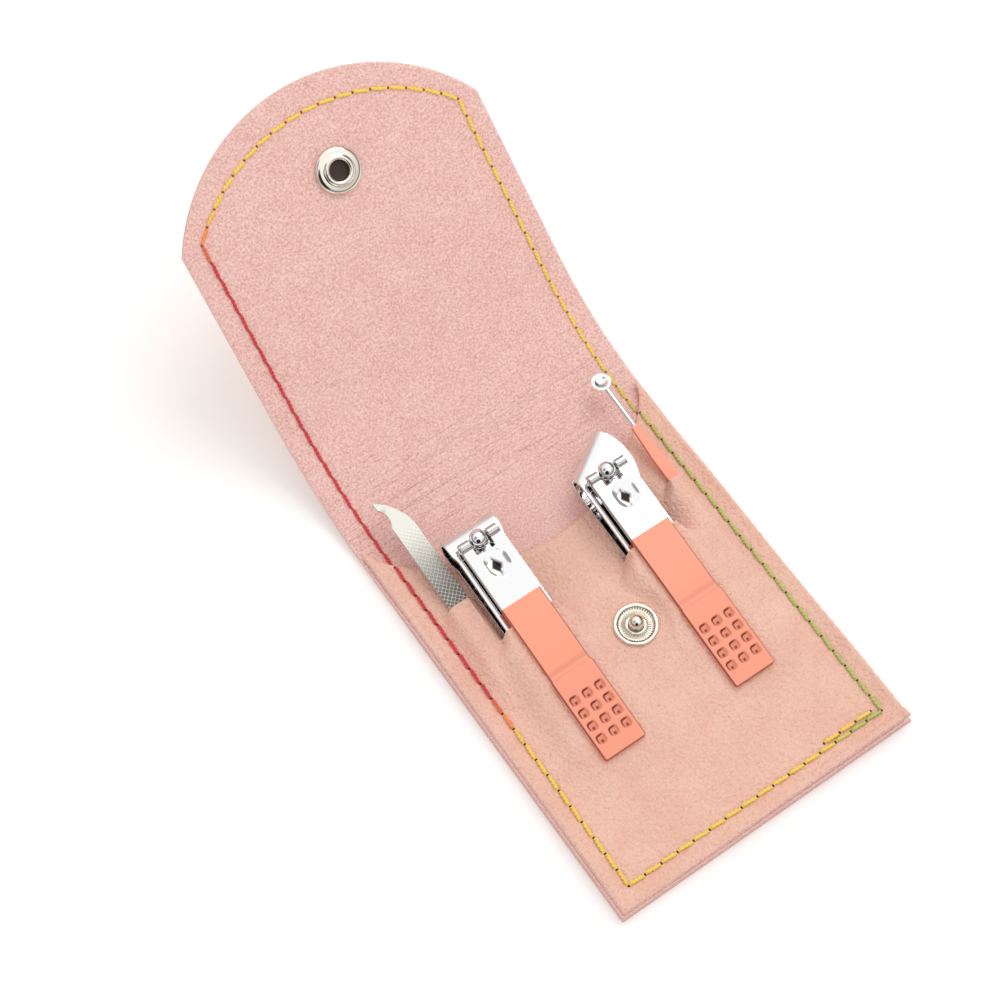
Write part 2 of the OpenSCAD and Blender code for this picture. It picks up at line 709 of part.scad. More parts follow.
back_panel();
front_panel();
fold();
flap();
pouch_stitching();
fold_stitching();
flap_stitching();
snap_stud();
snap_post();
snap_socket();
snap_cap();
straight_lower_plate();
straight_upper_plate();
straight_rivet();
straight_pin();
straight_lever();
slant_lower_plate();
slant_upper_plate();
slant_rivet();
slant_pin();
slant_lever();
nail_file();
ear_pick_spoon();
ear_pick_grip();
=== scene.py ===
"""Dresses the frame of an open leather manicure case and sets it on a pale studio floor."""

import math

import bpy
import numpy as np
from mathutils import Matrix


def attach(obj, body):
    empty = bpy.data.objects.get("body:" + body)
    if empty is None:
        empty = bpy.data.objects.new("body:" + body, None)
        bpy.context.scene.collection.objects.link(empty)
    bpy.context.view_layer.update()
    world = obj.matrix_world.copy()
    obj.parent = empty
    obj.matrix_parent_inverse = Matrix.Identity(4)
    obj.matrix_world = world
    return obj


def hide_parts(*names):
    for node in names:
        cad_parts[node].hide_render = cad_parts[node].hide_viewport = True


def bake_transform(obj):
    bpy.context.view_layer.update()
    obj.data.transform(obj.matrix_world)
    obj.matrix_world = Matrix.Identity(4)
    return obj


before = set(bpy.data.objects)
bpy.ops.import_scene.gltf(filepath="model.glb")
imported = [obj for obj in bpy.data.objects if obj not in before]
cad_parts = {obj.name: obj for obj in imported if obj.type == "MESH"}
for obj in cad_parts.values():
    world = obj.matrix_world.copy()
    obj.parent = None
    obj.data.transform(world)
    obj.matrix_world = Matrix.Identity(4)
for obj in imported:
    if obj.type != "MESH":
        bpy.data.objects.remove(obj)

bl_info = {
    "name": "Manicure Case",
    "version": (1, 0, 0),
    "blender": (4, 5, 0),
    "location": "View3D > Sidebar > Case",
    "description": "Leather, thread, chrome and paint for an open manicure case",
    "category": "Object",
}

# Sizes in millimetres, the same as in the part's source. "v" runs along the case from its
# bottom edge, "u" across it, and "s" along the underside of the outer leather.
MM = 0.001
HALF_W = 39.0
BACK_LEN = 96.0
FOLD_LEN = 42.0
FOLD_FLAT = 12.6
FOLD_ANGLE = math.radians(39)
FLAP_SIDE = 42.0
END_R = 46.0
LEATHER = 2.0
POCKET = 1.6
MOUTH_V = 79.0
BORDER = 6.0
LIFT, LOOSE_LIFT = 2.8, 2.2
SETTLE, DRAPE, LIP = 8.0, 7.0, 1.4
SEAM_IN = 5.0
SNAP_X, STUD_V, SOCKET_S = 1.2, 50.6, 42.0
STUD_R, STUD_H, KNOB_R = 5.1, 3.7, 1.8
SOCKET_R, SOCKET_H, SOCKET_HOLE_R = 5.4, 1.8, 2.3
CAP_R, CAP_H = 5.6, 1.7
CLIP_LEN, CLIP_W, PLATE, BODY_H = 60.0, 12.4, 1.0, 6.8
RIVET_Y, PIN_BACK, CURL_LEN, HEAD_R = 3.6, 5.3, 3.6, 2.2
LEVER_LEN, LEVER_W, LEVER_T = 56.2, 10.2, 1.0
PAD_W, PAD_LEN, PAD_STEP, PAD_RAMP = 10.7, 21.2, 0.35, 1.2
DIMPLE, DIMPLE_PITCH, FIRST_DIMPLE = 2.2, 3.3, 4.6
NOSE_R, SLOT_BACK = 1.3, 3.3
HOLLOW_Y, HOLLOW_R, HOLLOW_DEPTH = 6.8, 7.0, 0.65
FILE_LEN, FILE_W, FILE_T = 52.0, 5.0, 1.0
PICK_LEN, PICK_W, PICK_T = 55.0, 2.7, 1.3
CLIPPERS = {"straight": (-17.2, 30.5), "slant": (15.8, 27.9)}
CLIP_SLIT = 64.6
FILE_X, FILE_SLIT, FILE_TIP = -27.7, 76.7, 107.0
PICK_X, PICK_SLIT, PICK_TIP = 29.6, 74.2, 105.4
FIT, PUSH = 0.1, 3.0

# The seam's arc on the flap is flatter than the flap's end and stays SEAM_END inside it. The
# source has a plainer one, at one distance from the edge.
FOLD_R = FOLD_LEN / FOLD_ANGLE
FLAP_Y = BACK_LEN + FOLD_R * math.sin(FOLD_ANGLE)
FLAP_S = BACK_LEN + FOLD_LEN
END_RISE = END_R - math.sqrt(END_R**2 - HALF_W**2)
FLAP_LEN = FLAP_SIDE + END_RISE
CENTRE_S = FLAP_S + FLAP_LEN - END_R
REST_LEN = FLAP_Y + FLAP_LEN * math.cos(FOLD_ANGLE)
BORDER_Z = LEATHER + POCKET
SEAM_X = HALF_W - SEAM_IN
SEAM_R = 47.0
SEAM_END, SEAM_SINK = 6.6, 0.2
SEAM_CENTRE = FLAP_S + FLAP_LEN - SEAM_END - SEAM_R
SEAM_TURN = math.asin(SEAM_X / SEAM_R)
SIDE_S = SEAM_CENTRE + SEAM_R * math.cos(SEAM_TURN)
ARC = 2 * SEAM_R * SEAM_TURN
TAIL_Z = LEATHER + FIT
BEND_Y = RIVET_Y + 0.3
PIN_Y = CLIP_LEN - PIN_BACK
JAW_SLOPE = math.atan((BODY_H - 2 * PLATE) / (CLIP_LEN - CURL_LEN - BEND_Y))
BAR_Z = (
    2 * PLATE + (PIN_Y - BEND_Y) * math.tan(JAW_SLOPE)
    + (POCKET + 2 * FIT) / math.cos(JAW_SLOPE) + LEVER_T / 2
)
FILE_SLOPE, PICK_SLOPE = math.radians(6.5), math.radians(6)

# Where the outer leather is parted, along the underside. The creases across it are round CREASE_V.
PART_S, CREASE_V = 115.4, 106

# The finer surfaces of the leather: the grid's steps, the narrow columns along the cut edges
# and at a slit's ends, how the edges lean in and roll off and the seam sinks in, and the room
# beside each tool. FAR stands for a distance to an edge that isn't near, and places less than
# SAME apart are one place.
HIDE_STEP, POCKET_STEP = 0.6, 0.55
EDGE_COLUMNS = [-HALF_W, -HALF_W + 0.3, HALF_W - 0.3, HALF_W]
EDGE_FADE, HIDE_LEAN, POCKET_LEAN, POCKET_FOOT_LEAN = 3.0, 0.5, 1.0, 0.5
HIDE_ROLL, POCKET_ROLL, ROLL_W = 0.22, 0.2, 0.5
GROOVE_W, TOOL_ROOM, SLIT_END, FAR, SAME = 0.8, 0.3, 0.9, 9.0, 1e-6

# The pocket leather past a slit: how far the tool's underside holds it up, and how steeply it
# rises beside a clipper. It is flat for SNAP_FLAT round the stud, then fades to its own height
# over SNAP_FADE. SOFT and CLOSE are the powers with which it smooths over from tool to tool,
# and on a clipper.
UNDER_FADE, ROOM_SLOPE = 9.0, 1.7
SNAP_FLAT, SNAP_FADE = 5.0, 4.0
SOFT, CLOSE = 2.6, 9

# The finer surfaces of the lever, whose dimples are a little deeper than in the source, and
# the length of one twist of the thread.
LEVER_EDGE, LEVER_CORNER, ROLL_INSIDE, DIMPLE_DEPTH = 0.28, 0.7, 0.45, 0.5
TWIST_LEN, STUD_RIDGES = 1.9, 40


# ---------- surfaces ----------

def ease(t):
    """Smooth step: 0 below t = 0, 1 above t = 1."""
    t = np.clip(t, 0.0, 1.0)
    return t * t * (3 - 2 * t)


def rounding(distance, radius):
    """How far a quarter circle draws a corner in, at a distance from the edge."""
    near = np.clip(radius - distance, 0, radius)
    return radius - np.sqrt(radius**2 - near**2)


def plateau(d, half, ramp):
    """1 within half of the middle line, falling smoothly to 0 over the ramp on each side."""
    return ease((half + ramp - np.abs(d)) / ramp)


def spread(stops, step):
    """Positions no more than a step apart that run through every stop."""
    runs = [
        np.linspace(a, b, max(2, math.ceil((b - a) / step) + 1))[:-1]
        for a, b in zip(stops, stops[1:])
    ]
    return np.append(np.concatenate(runs), stops[-1])


def hide_point(u, s, h):
    """Point of the outer leather at height h over its underside: flat up to the fold, then
    on circles round the fold's axis, then straight at the fold's angle."""
    turn = np.clip((s - BACK_LEN) / FOLD_R, 0, FOLD_ANGLE)
    v = np.minimum(s, BACK_LEN) + (FOLD_R - h) * np.sin(turn)
    z = FOLD_R - (FOLD_R - h) * np.cos(turn)
    past = np.maximum(s - FLAP_S, 0)
    return np.stack([u, v + past * np.cos(turn), z + past * np.sin(turn)], -1)


def in_frame(points):
    """Points of the case (u, v, z) in millimetres, in the frame in metres."""
    return (np.asarray(points, float) - [0, REST_LEN / 2, 0]) * MM


def slab(top, bottom, keep=None, index=None, **values):
    """Closed sheet between two grids of points with rows, columns and xyz: the top cells
    face up, the bottom cells down, and a wall stands on each edge that only one kept cell
    has. Points with one index are one point. Gives points, faces, kinds and the values on
    the points: the given grids, which fade to 0 on the bottom, and the depth."""
    rows, columns = top.shape[:2]
    if index is None:
        index = np.arange(rows * columns).reshape(rows, columns)
    quads = np.stack([index[:-1, :-1], index[:-1, 1:], index[1:, 1:], index[1:, :-1]], -1)
    quads = quads.reshape(-1, 4)
    if keep is not None:
        quads = quads[keep.ravel()]
    edges = np.concatenate([quads[:, [k, (k + 1) % 4]] for k in range(4)])
    size = rows * columns
    rim = edges[~np.isin(edges @ [size, 1], edges @ [1, size])]
    walls = np.stack([rim[:, 1], rim[:, 0], rim[:, 0] + size, rim[:, 1] + size], -1)
    faces = np.concatenate([quads, quads[:, ::-1] + size, walls])
    kinds = np.repeat([0, 1, 2], [len(quads), len(quads), len(walls)])
    points = np.concatenate([top.reshape(-1, 3), bottom.reshape(-1, 3)])
    used, faces = np.unique(faces, return_inverse=True)
    values["depth"] = np.ones((rows, columns))
    kept = {key: np.append(grid, np.zeros(grid.size))[used] for key, grid in values.items()}
    return points[used], faces.reshape(-1, 4), kinds, kept


def tube(rings):
    """Closed skin over rings of points (rings, points round, xyz), capped at both ends."""
    count, around = rings.shape[:2]
    index = np.arange(count * around).reshape(count, around)
    turned = np.roll(index, -1, 1)
    sides = np.stack([index[:-1], turned[:-1], turned[1:], index[1:]], -1).reshape(-1, 4)
    return rings.reshape(-1, 3), sides.tolist() + [index[0, ::-1].tolist(), index[-1].tolist()]


def revolve(profile, around=96, ridges=None):
    """Skin of a profile (radius, height) turned round Z; the profile starts and ends on the
    axis. ridges(radius, angle) adds to the height."""
    profile = np.asarray(profile, float)
    angle = np.arange(around) * 2 * math.pi / around
    r, h = profile[:, :1], profile[:, 1:]
    extra = ridges(r, angle) if ridges else 0
    rings = np.stack([r * np.cos(angle), r * np.sin(angle), h + extra + 0 * angle], -1)
    points, faces = tube(rings[1:-1])
    poles = [[0, 0, profile[0, 1]], [0, 0, profile[-1, 1]]]
    fans = [[pole, a, b] for pole, ring in enumerate(faces[-2:], len(points))
            for a, b in zip(ring, ring[1:] + ring[:1])]
    return np.concatenate([points, poles]), faces[:-2] + fans


def rounded(profile, times=2):
    """Profile with its corners cut at a quarter and three quarters of each side, repeated."""
    points = np.asarray(profile, float)
    for _ in range(times):
        a, b = points[:-1], points[1:]
        cut = np.stack([0.75 * a + 0.25 * b, 0.25 * a + 0.75 * b], 1).reshape(-1, 2)
        points = np.concatenate([points[:1], cut[1:-1], points[-1:]])
    return points


def new_object(name, points, faces, materials, kinds=None, sharp=35, **values):
    """Object from points in the frame, with a material for each kind of face and named
    values, or colours, on its points."""
    mesh = bpy.data.meshes.new(name)
    mesh.from_pydata(np.asarray(points).tolist(), [], [list(f) for f in faces])
    for material in materials:
        mesh.materials.append(material)
    if kinds is not None:
        mesh.polygons.foreach_set("material_index", np.asarray(kinds, np.int32))
    mesh.polygons.foreach_set("use_smooth", np.ones(len(mesh.polygons), bool))
    mesh.set_sharp_from_angle(angle=math.radians(sharp))
    for key, value in values.items():
        kind, field = ("FLOAT_COLOR", "color") if np.ndim(value) == 2 else ("FLOAT", "value")
        layer = mesh.attributes.new(key, kind, "POINT")
        layer.data.foreach_set(field, np.ravel(value).astype(np.float32))
    mesh.update()
    mesh.validate()
    item = bpy.data.objects.new(name, mesh)
    bpy.context.scene.collection.objects.link(item)
    return item


# ---------- materials ----------

def linear(code):
    """Linear colour of an sRGB hex code."""
    parts = [int(code[k:k + 2], 16) / 255 for k in (1, 3, 5)]
    return [c / 12.92 if c <= 0.04045 else ((c + 0.055) / 1.055) ** 2.4 for c in parts] + [1.0]


def add(tree, kind, out=0, stops=(), **inputs):
    """Adds a node and gives one of its outputs. Inputs are named by socket, with _ for a
    space, or by number as i0, i1. A name in small letters is a setting of the node, and the
    stops are a ramp's places and colours."""
    item = tree.nodes.new("ShaderNode" + kind)
    for key, value in inputs.items():
        numbered = key[1:].isdigit()
        if key[0].islower() and not numbered:
            setattr(item, key, value)
            continue
        socket = item.inputs[int(key[1:]) if numbered else key.replace("_", " ")]
        if isinstance(value, bpy.types.NodeSocket):
            tree.links.new(value, socket)
        else:
            socket.default_value = value
    for k, (place, colour) in enumerate(stops):
        elements = item.color_ramp.elements
        stop = elements[k] if k in (0, len(stops) - 1) else elements.new(place)
        stop.position, stop.color = place, linear(colour) if isinstance(colour, str) else colour
    return item.outputs[out] if item.outputs else item


def new_tree(name):
    """Empty node tree of a new material."""
    material = bpy.data.materials.new(name)
    material.use_nodes = True
    material.node_tree.nodes.clear()
    return material.node_tree


def surface(name, tree=None, **inputs):
    """The material of this name, with one Principled surface that the tree leads to."""
    tree = tree or new_tree(name)
    add(tree, "OutputMaterial", Surface=add(tree, "BsdfPrincipled", **inputs))
    return bpy.data.materials[name]


def place_mm(tree, stretch=(1, 1, 1)):
    """Object coordinates in millimetres, stretched by the given factors. On them a texture's
    scale is one over the size of its grains."""
    place = add(tree, "TexCoord", "Object")
    return add(tree, "VectorMath", operation="MULTIPLY", i0=place, i1=[f / MM for f in stretch])


def smooth_leather(grain, colour):
    """Full-grain leather, drum dyed pink and lightly finished: fine closed pebbles."""
    tree = new_tree("Smooth leather")
    place = place_mm(tree)
    fine = add(tree, "TexNoise", Vector=place, Scale=1 / 0.42)
    broad = add(tree, "TexNoise", Vector=place, Scale=1 / 9, Detail=3)
    mixed = add(tree, "Mix", Factor=0.4, i2=fine, i3=broad)
    dyed = add(tree, "ValToRGB", stops=((0.36, "#E8B39F"), (0.62, colour)), Fac=mixed)
    # Pebbles are cells with rounded tops; pores are finer noise.
    cells = add(
        tree, "TexVoronoi", feature="SMOOTH_F1", Vector=place, Scale=1 / grain, Smoothness=0.6)
    pebbles = add(tree, "Bump", Height=cells, Distance=-0.28 * MM)
    pores = add(tree, "TexNoise", Vector=place, Scale=1 / 0.5, Detail=3)
    grained = add(tree, "Bump", Height=pores, Distance=0.34 * MM, Normal=pebbles)
    return surface("Smooth leather", tree, Base_Color=dyed, Roughness=0.52,
                   Specular_IOR_Level=0.35, Normal=grained)


def suede(grain, colour):
    """Flesh side of the same hide, buffed to a short nap: mottled and matt."""
    tree = new_tree("Suede")
    place = place_mm(tree)
    nap = add(tree, "TexNoise", Vector=place, Scale=1 / grain, Detail=4, Roughness=0.65)
    clouds = add(tree, "TexNoise", Vector=place, Scale=1 / 6, Detail=3)
    mixed = add(tree, "Mix", Factor=0.1, i2=nap, i3=clouds)
    dyed = add(tree, "ValToRGB", stops=((0.35, "#DAA197"), (0.62, colour)), Fac=mixed)
    # Creases across the hide where it folds.
    creases = add(tree, "TexNoise", Vector=place_mm(tree, (0.07, 1, 1)), Scale=1 / 1.1)
    along = add(tree, "SeparateXYZ", 1, Vector=place)
    off = add(tree, "Math", operation="SUBTRACT", i0=along, i1=CREASE_V - REST_LEN / 2)
    far = add(tree, "Math", operation="ABSOLUTE", i0=off)
    near = add(tree, "MapRange", Value=far, From_Min=22.0, From_Max=6.0)
    folded = add(tree, "Math", operation="MULTIPLY", i0=creases, i1=near)
    creased = add(tree, "Bump", Height=folded, Distance=0.9 * MM)
    napped = add(tree, "Bump", Height=nap, Distance=0.28 * MM, Normal=creased)
    return surface("Suede", tree, Base_Color=dyed, Roughness=0.95, Sheen_Weight=0.25,
                   Sheen_Roughness=0.5, Normal=napped)


def cut_edge():
    """Raw cut edge of leather: dyed fibres between the paler grain and flesh layers."""
    tree = new_tree("Cut leather edge")
    depth = add(tree, "Attribute", "Fac", attribute_name="depth")
    fibres = add(
        tree, "TexNoise", Vector=place_mm(tree), Scale=1 / 0.35, Detail=4, Roughness=0.7)
    torn = add(tree, "Math", operation="MULTIPLY_ADD", i0=fibres, i1=1.7, i2=-0.85)
    across = add(tree, "Math", operation="ADD", i0=depth, i1=torn)
    layers = ((0.0, "#C98C80"), (0.2, "#E4B1A6"), (0.4, "#F4C9BE"), (0.52, "#C99388"),
              (0.7, "#F0C2B7"), (1.0, "#FBD6CB"))
    dyed = add(tree, "ValToRGB", stops=layers, Fac=across)
    rough = add(tree, "Bump", Height=fibres, Distance=0.2 * MM)
    return surface("Cut leather edge", tree, Base_Color=dyed, Roughness=0.9, Normal=rough)


def polyester_thread():
    """Polyester thread, dyed in runs of yellow, green, red and orange."""
    tree = new_tree("Variegated thread")
    tint = add(tree, "Attribute", "Color", attribute_name="tint")
    fibres = add(tree, "TexNoise", Vector=place_mm(tree), Scale=1 / 0.12)
    spun = add(tree, "Bump", Height=fibres, Distance=0.03 * MM, Strength=0.5)
    return surface("Variegated thread", tree, Base_Color=tint, Roughness=0.55,
                   Sheen_Weight=0.3, Normal=spun)


def needle_hole(name, colour):
    """Shadow in a needle hole: bare dark flesh of the leather, or paler where the thread
    fills the hole."""
    return surface(name, Base_Color=linear(colour), Roughness=1.0)


def socket_painted_shade():
    """Dull brown painted shade inside the socket, where no light reaches the steel."""
    return surface("Socket well", Base_Color=linear("#4A3A34"), Metallic=0.6, Roughness=0.5)


def chrome(name="Chrome", colour="#EBEBEB", rough=0.07):
    """Bright nickel and chromium plate on pressed steel, with faint polishing marks. Nickel
    alone is warmer and a little duller."""
    tree = new_tree(name)
    # Painted shade and painted reflection, from the groove value, darken the plate: between the
    # stud's ridges and in its rings, and on the lever's edges, ears and hollow.
    groove = add(tree, "Attribute", "Fac", attribute_name="groove")
    plated = add(tree, "ValToRGB", stops=((0.05, colour), (1.0, "#1E1915")), Fac=groove)
    marks = add(tree, "TexNoise", Vector=place_mm(tree, (0.15, 1, 1)), Scale=1 / 0.5)
    polished = add(tree, "Bump", Height=marks, Distance=0.02 * MM, Strength=0.12)
    return surface(name, tree, Base_Color=plated, Metallic=1.0, Roughness=rough,
                   Normal=polished)


def coral_enamel(colour):
    """Baked coral enamel sprayed on the levers: smooth, half gloss."""
    tree = new_tree("Coral enamel")
    # The enamel is thicker and darker in the pressed dimples.
    # Painted shade, from the shade value, darkens the enamel in the pressed dimples, along the
    # lever's edges and in its bend.
    shade = add(tree, "Attribute", "Fac", attribute_name="shade")
    painted_shade_enamel = add(tree, "ValToRGB", stops=((0.1, colour), (0.85, "#74260E")), Fac=shade)
    flow = add(tree, "TexNoise", Vector=place_mm(tree), Scale=1 / 0.5)
    sprayed = add(tree, "Bump", Height=flow, Distance=0.02 * MM, Strength=0.3)
    return surface("Coral enamel", tree, Base_Color=painted_shade_enamel, Roughness=0.42, Coat_Weight=0.12,
                   Coat_Roughness=0.3, Normal=sprayed)


def file_steel(pitch, start_v):
    """Nickel-plated steel file: two sets of cut grooves at 45 degrees below the start, drawn
    coarser than real ones so that they show."""
    tree = new_tree("File steel")
    place = place_mm(tree)
    x = add(tree, "SeparateXYZ", 0, Vector=place)
    y = add(tree, "SeparateXYZ", 1, Vector=place)
    cuts = []
    for sign in (1.0, -1.0):
        along = add(tree, "Math", operation="MULTIPLY_ADD", i0=x, i1=sign, i2=y)
        turned = add(tree, "Math", operation="MULTIPLY", i0=along, i1=2 * math.pi / pitch)
        wave = add(tree, "Math", operation="SINE", i0=turned)
        cuts.append(add(tree, "Math", operation="MULTIPLY_ADD", i0=wave, i1=0.5, i2=0.5))
    crossed = add(tree, "Math", operation="MAXIMUM", i0=cuts[0], i1=cuts[1])
    sharp = add(tree, "Math", operation="POWER", i0=crossed, i1=3.0)
    limit = start_v - REST_LEN / 2
    # The grooves fade in from 2 mm above the start to 16 mm below it, so the blade grows darker
    # towards the slit.
    cut = add(tree, "MapRange", Value=y, From_Min=limit + 2, From_Max=limit - 16.0)
    shown = add(tree, "Mix", Factor=cut, i2=1.0, i3=sharp)
    steel = add(tree, "ValToRGB", stops=((0.0, "#706E67"), (0.85, "#D4D2CA")), Fac=shown)
    grooved = add(tree, "Bump", Height=shown, Distance=0.2 * MM)
    return surface("File steel", tree, Base_Color=steel, Metallic=0.75, Roughness=0.5,
                   Normal=grooved)


# ---------- outer leather ----------

def leaned(u, v, inset):
    """Plan positions whose cut edge is drawn in by an inset: the shift fades smoothly inwards
    from both sides and from the bottom, with a fine ripple along the edge."""
    shift = inset * (1 + 0.09 * np.sin(5.1 * (u + v)) + 0.07 * np.sin(2.7 * (u + v) + 1))
    side = shift * ease(1 - (HALF_W - np.abs(u)) / EDGE_FADE)
    return u - np.sign(u) * side, v + shift * ease(1 - v / EDGE_FADE)


def seam_distance(u, s):
    """Distance from the seam line, which runs straight up both sides and round the end."""
    straight = np.abs(np.abs(u) - SEAM_X)
    around = np.abs(np.hypot(u, s - SEAM_CENTRE) - SEAM_R)
    on_arc = (s > SIDE_S) | ((s > SEAM_CENTRE) & (np.abs(u) < SEAM_X - 3))
    return np.where(on_arc, around, straight)


def sheet_grid(across, rows, ends, share):
    """Grid of positions across and along: the straight rows, then rows that run on from the
    last one to the ends, at the given shares of the way."""
    last = rows[-1]
    along = np.concatenate([
        np.repeat(rows[:, None], len(across), 1), last + share[:, None] * (ends - last)[None, :]])
    return np.repeat(across[None, :], len(along), 0), along


def seam_groove(distance, settings):
    """Depth of the groove under the seam: a Gaussian of the distance from its line."""
    return settings.groove / MM * np.exp(-((distance / GROOVE_W) ** 2))


def hide_slab(start, end, materials, name, settings):
    """Outer leather between two distances along its underside: a grid of columns across and
    rows along, whose last rows follow the round end. The face sinks in under the seam and
    rolls off at the cut edges, which lean in towards the top."""
    across = spread(EDGE_COLUMNS, HIDE_STEP)
    last = np.full_like(across, end)
    if end > CENTRE_S:
        last = CENTRE_S + np.sqrt(END_R**2 - across**2)
    rows = spread([start, min(end, FLAP_S + FLAP_SIDE) - 4], HIDE_STEP)
    share = spread([0, 1], HIDE_STEP / max(last.max() - rows[-1], 1))[1:]
    u, s = sheet_grid(across, rows, last, share)
    round_rim = np.where(s > CENTRE_S, END_R - np.hypot(u, s - CENTRE_S), FAR)
    straight_rim = np.minimum(HALF_W - np.abs(u), np.where(start == 0, s, FAR))
    roll = HIDE_ROLL * ease(1 - np.minimum(straight_rim, round_rim) / ROLL_W)
    groove = seam_groove(seam_distance(u, s), settings) * (s > BACK_LEN - 6)
    lean = HIDE_LEAN * ease((BACK_LEN - s) / 20)
    top = in_frame(hide_point(*leaned(u, s, lean), LEATHER - groove - roll))
    bottom = in_frame(hide_point(u, s, 0.6 * roll))
    points, faces, kinds, values = slab(top, bottom)
    return new_object(name, points, faces, materials, kinds, **values)


def bend_over(item):
    """Bakes a piece's transform into its mesh."""
    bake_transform(item)


# ---------- pocket leather ----------

def tool_rise(u, v, past, tool):
    """Lift of the pocket leather over one tool. Under the tool's path it is held up by the
    tool's underside, which fades past the slit; before the slit it climbs along the tool's
    top and drapes over the sides on a ramp that narrows towards the slit."""
    d, slit, tail = u - tool["x"], tool["slit"], tool["tail"]
    start = ease((v - tail + SETTLE) / SETTLE)
    under = np.maximum(tool["under"] + (np.minimum(v, slit) - tail) * tool["lean"] - BORDER_Z, 0)
    base = under * plateau(d, tool["half"], DRAPE) * ease(1 - (v - slit) / UNDER_FADE)
    top = tool["top"] + (np.clip(v, tail, slit) - tail) * tool["rise"] - LEATHER
    ramp = LIP + (DRAPE - LIP) * ease((slit - v) / (0.6 * SETTLE))
    over = base + (top * start - base) * plateau(d, tool["half"], ramp)
    return np.where(past, base, np.maximum(over, 0))


def clipper_cover(x, tail):
    """What the pocket leather meets over a clipper, whose upper plate turns up at its bend."""
    climb = math.asin(POCKET / (CLIP_SLIT - tail))
    rise = math.tan(climb + JAW_SLOPE)
    top = TAIL_Z + 2 * PLATE + FIT - BEND_Y * (rise - math.tan(climb))
    return {"x": x, "tail": tail, "slit": CLIP_SLIT, "half": CLIP_W / 2 + TOOL_ROOM,
            "top": top, "rise": rise, "under": TAIL_Z - 0.1, "lean": math.tan(climb)}


def flat_cover(x, tip, length, slope, thick, width, slit):
    """What the pocket leather meets over a flat tool."""
    low, rise = TAIL_Z + PUSH * math.sin(slope), math.tan(slope)
    return {"x": x, "tail": tip - length * math.cos(slope), "slit": slit,
            "half": width / 2 + TOOL_ROOM, "top": low + thick + FIT, "rise": rise,
            "under": low - 0.15, "lean": rise}


def soft_highest(heights, power):
    """Smooth highest of several heights: the root of the sum of their powers."""
    return sum(np.maximum(h, 0) ** power for h in heights) ** (1 / power)


def pocket_lift(u, v, tools, past):
    """Height of the pocket leather's underside over the back: a soft highest of the loose
    middle and the rises over the four tools, close-fitting on the clippers, flat at the
    sewn border and under the stud, and low under a clipper's body."""
    inside = ease((HALF_W - BORDER + 0.4 - np.abs(u)) / 4.0)
    middle = LOOSE_LIFT * plateau(u, HALF_W - 15, 8) * ease((v - BORDER) / (5 * SETTLE))
    middle *= ease((CLIP_SLIT + SETTLE - v) / 18)
    rises = [middle] + [tool_rise(u, v, past[tool["slit"]], tool) for tool in tools]
    clippers = [tool for tool in tools if tool["slit"] == CLIP_SLIT]
    on_clipper = np.maximum(*[plateau(u - tool["x"], tool["half"], 3) for tool in clippers])
    height = soft_highest(rises, SOFT)
    height = height + (soft_highest(rises, CLOSE) - height) * on_clipper
    for tool in clippers:
        under = tool["under"] + (v - tool["tail"]) * tool["lean"] - BORDER_Z
        beside = np.maximum(np.abs(u - tool["x"]) - tool["half"], 0)
        room = np.maximum(under, 0) + ROOM_SLOPE * beside
        height = np.where(past[CLIP_SLIT], np.minimum(height, room), height)
    snap = plateau(np.hypot(u - SNAP_X, v - STUD_V), SNAP_FLAT, SNAP_FADE)
    return snap * LIFT + (1 - snap) * inside * height


def mouth_at(x):
    """Where the pocket's mouth crosses a line along the case: it is scooped by an arc."""
    return MOUTH_V + END_R - np.sqrt(END_R**2 - x**2)


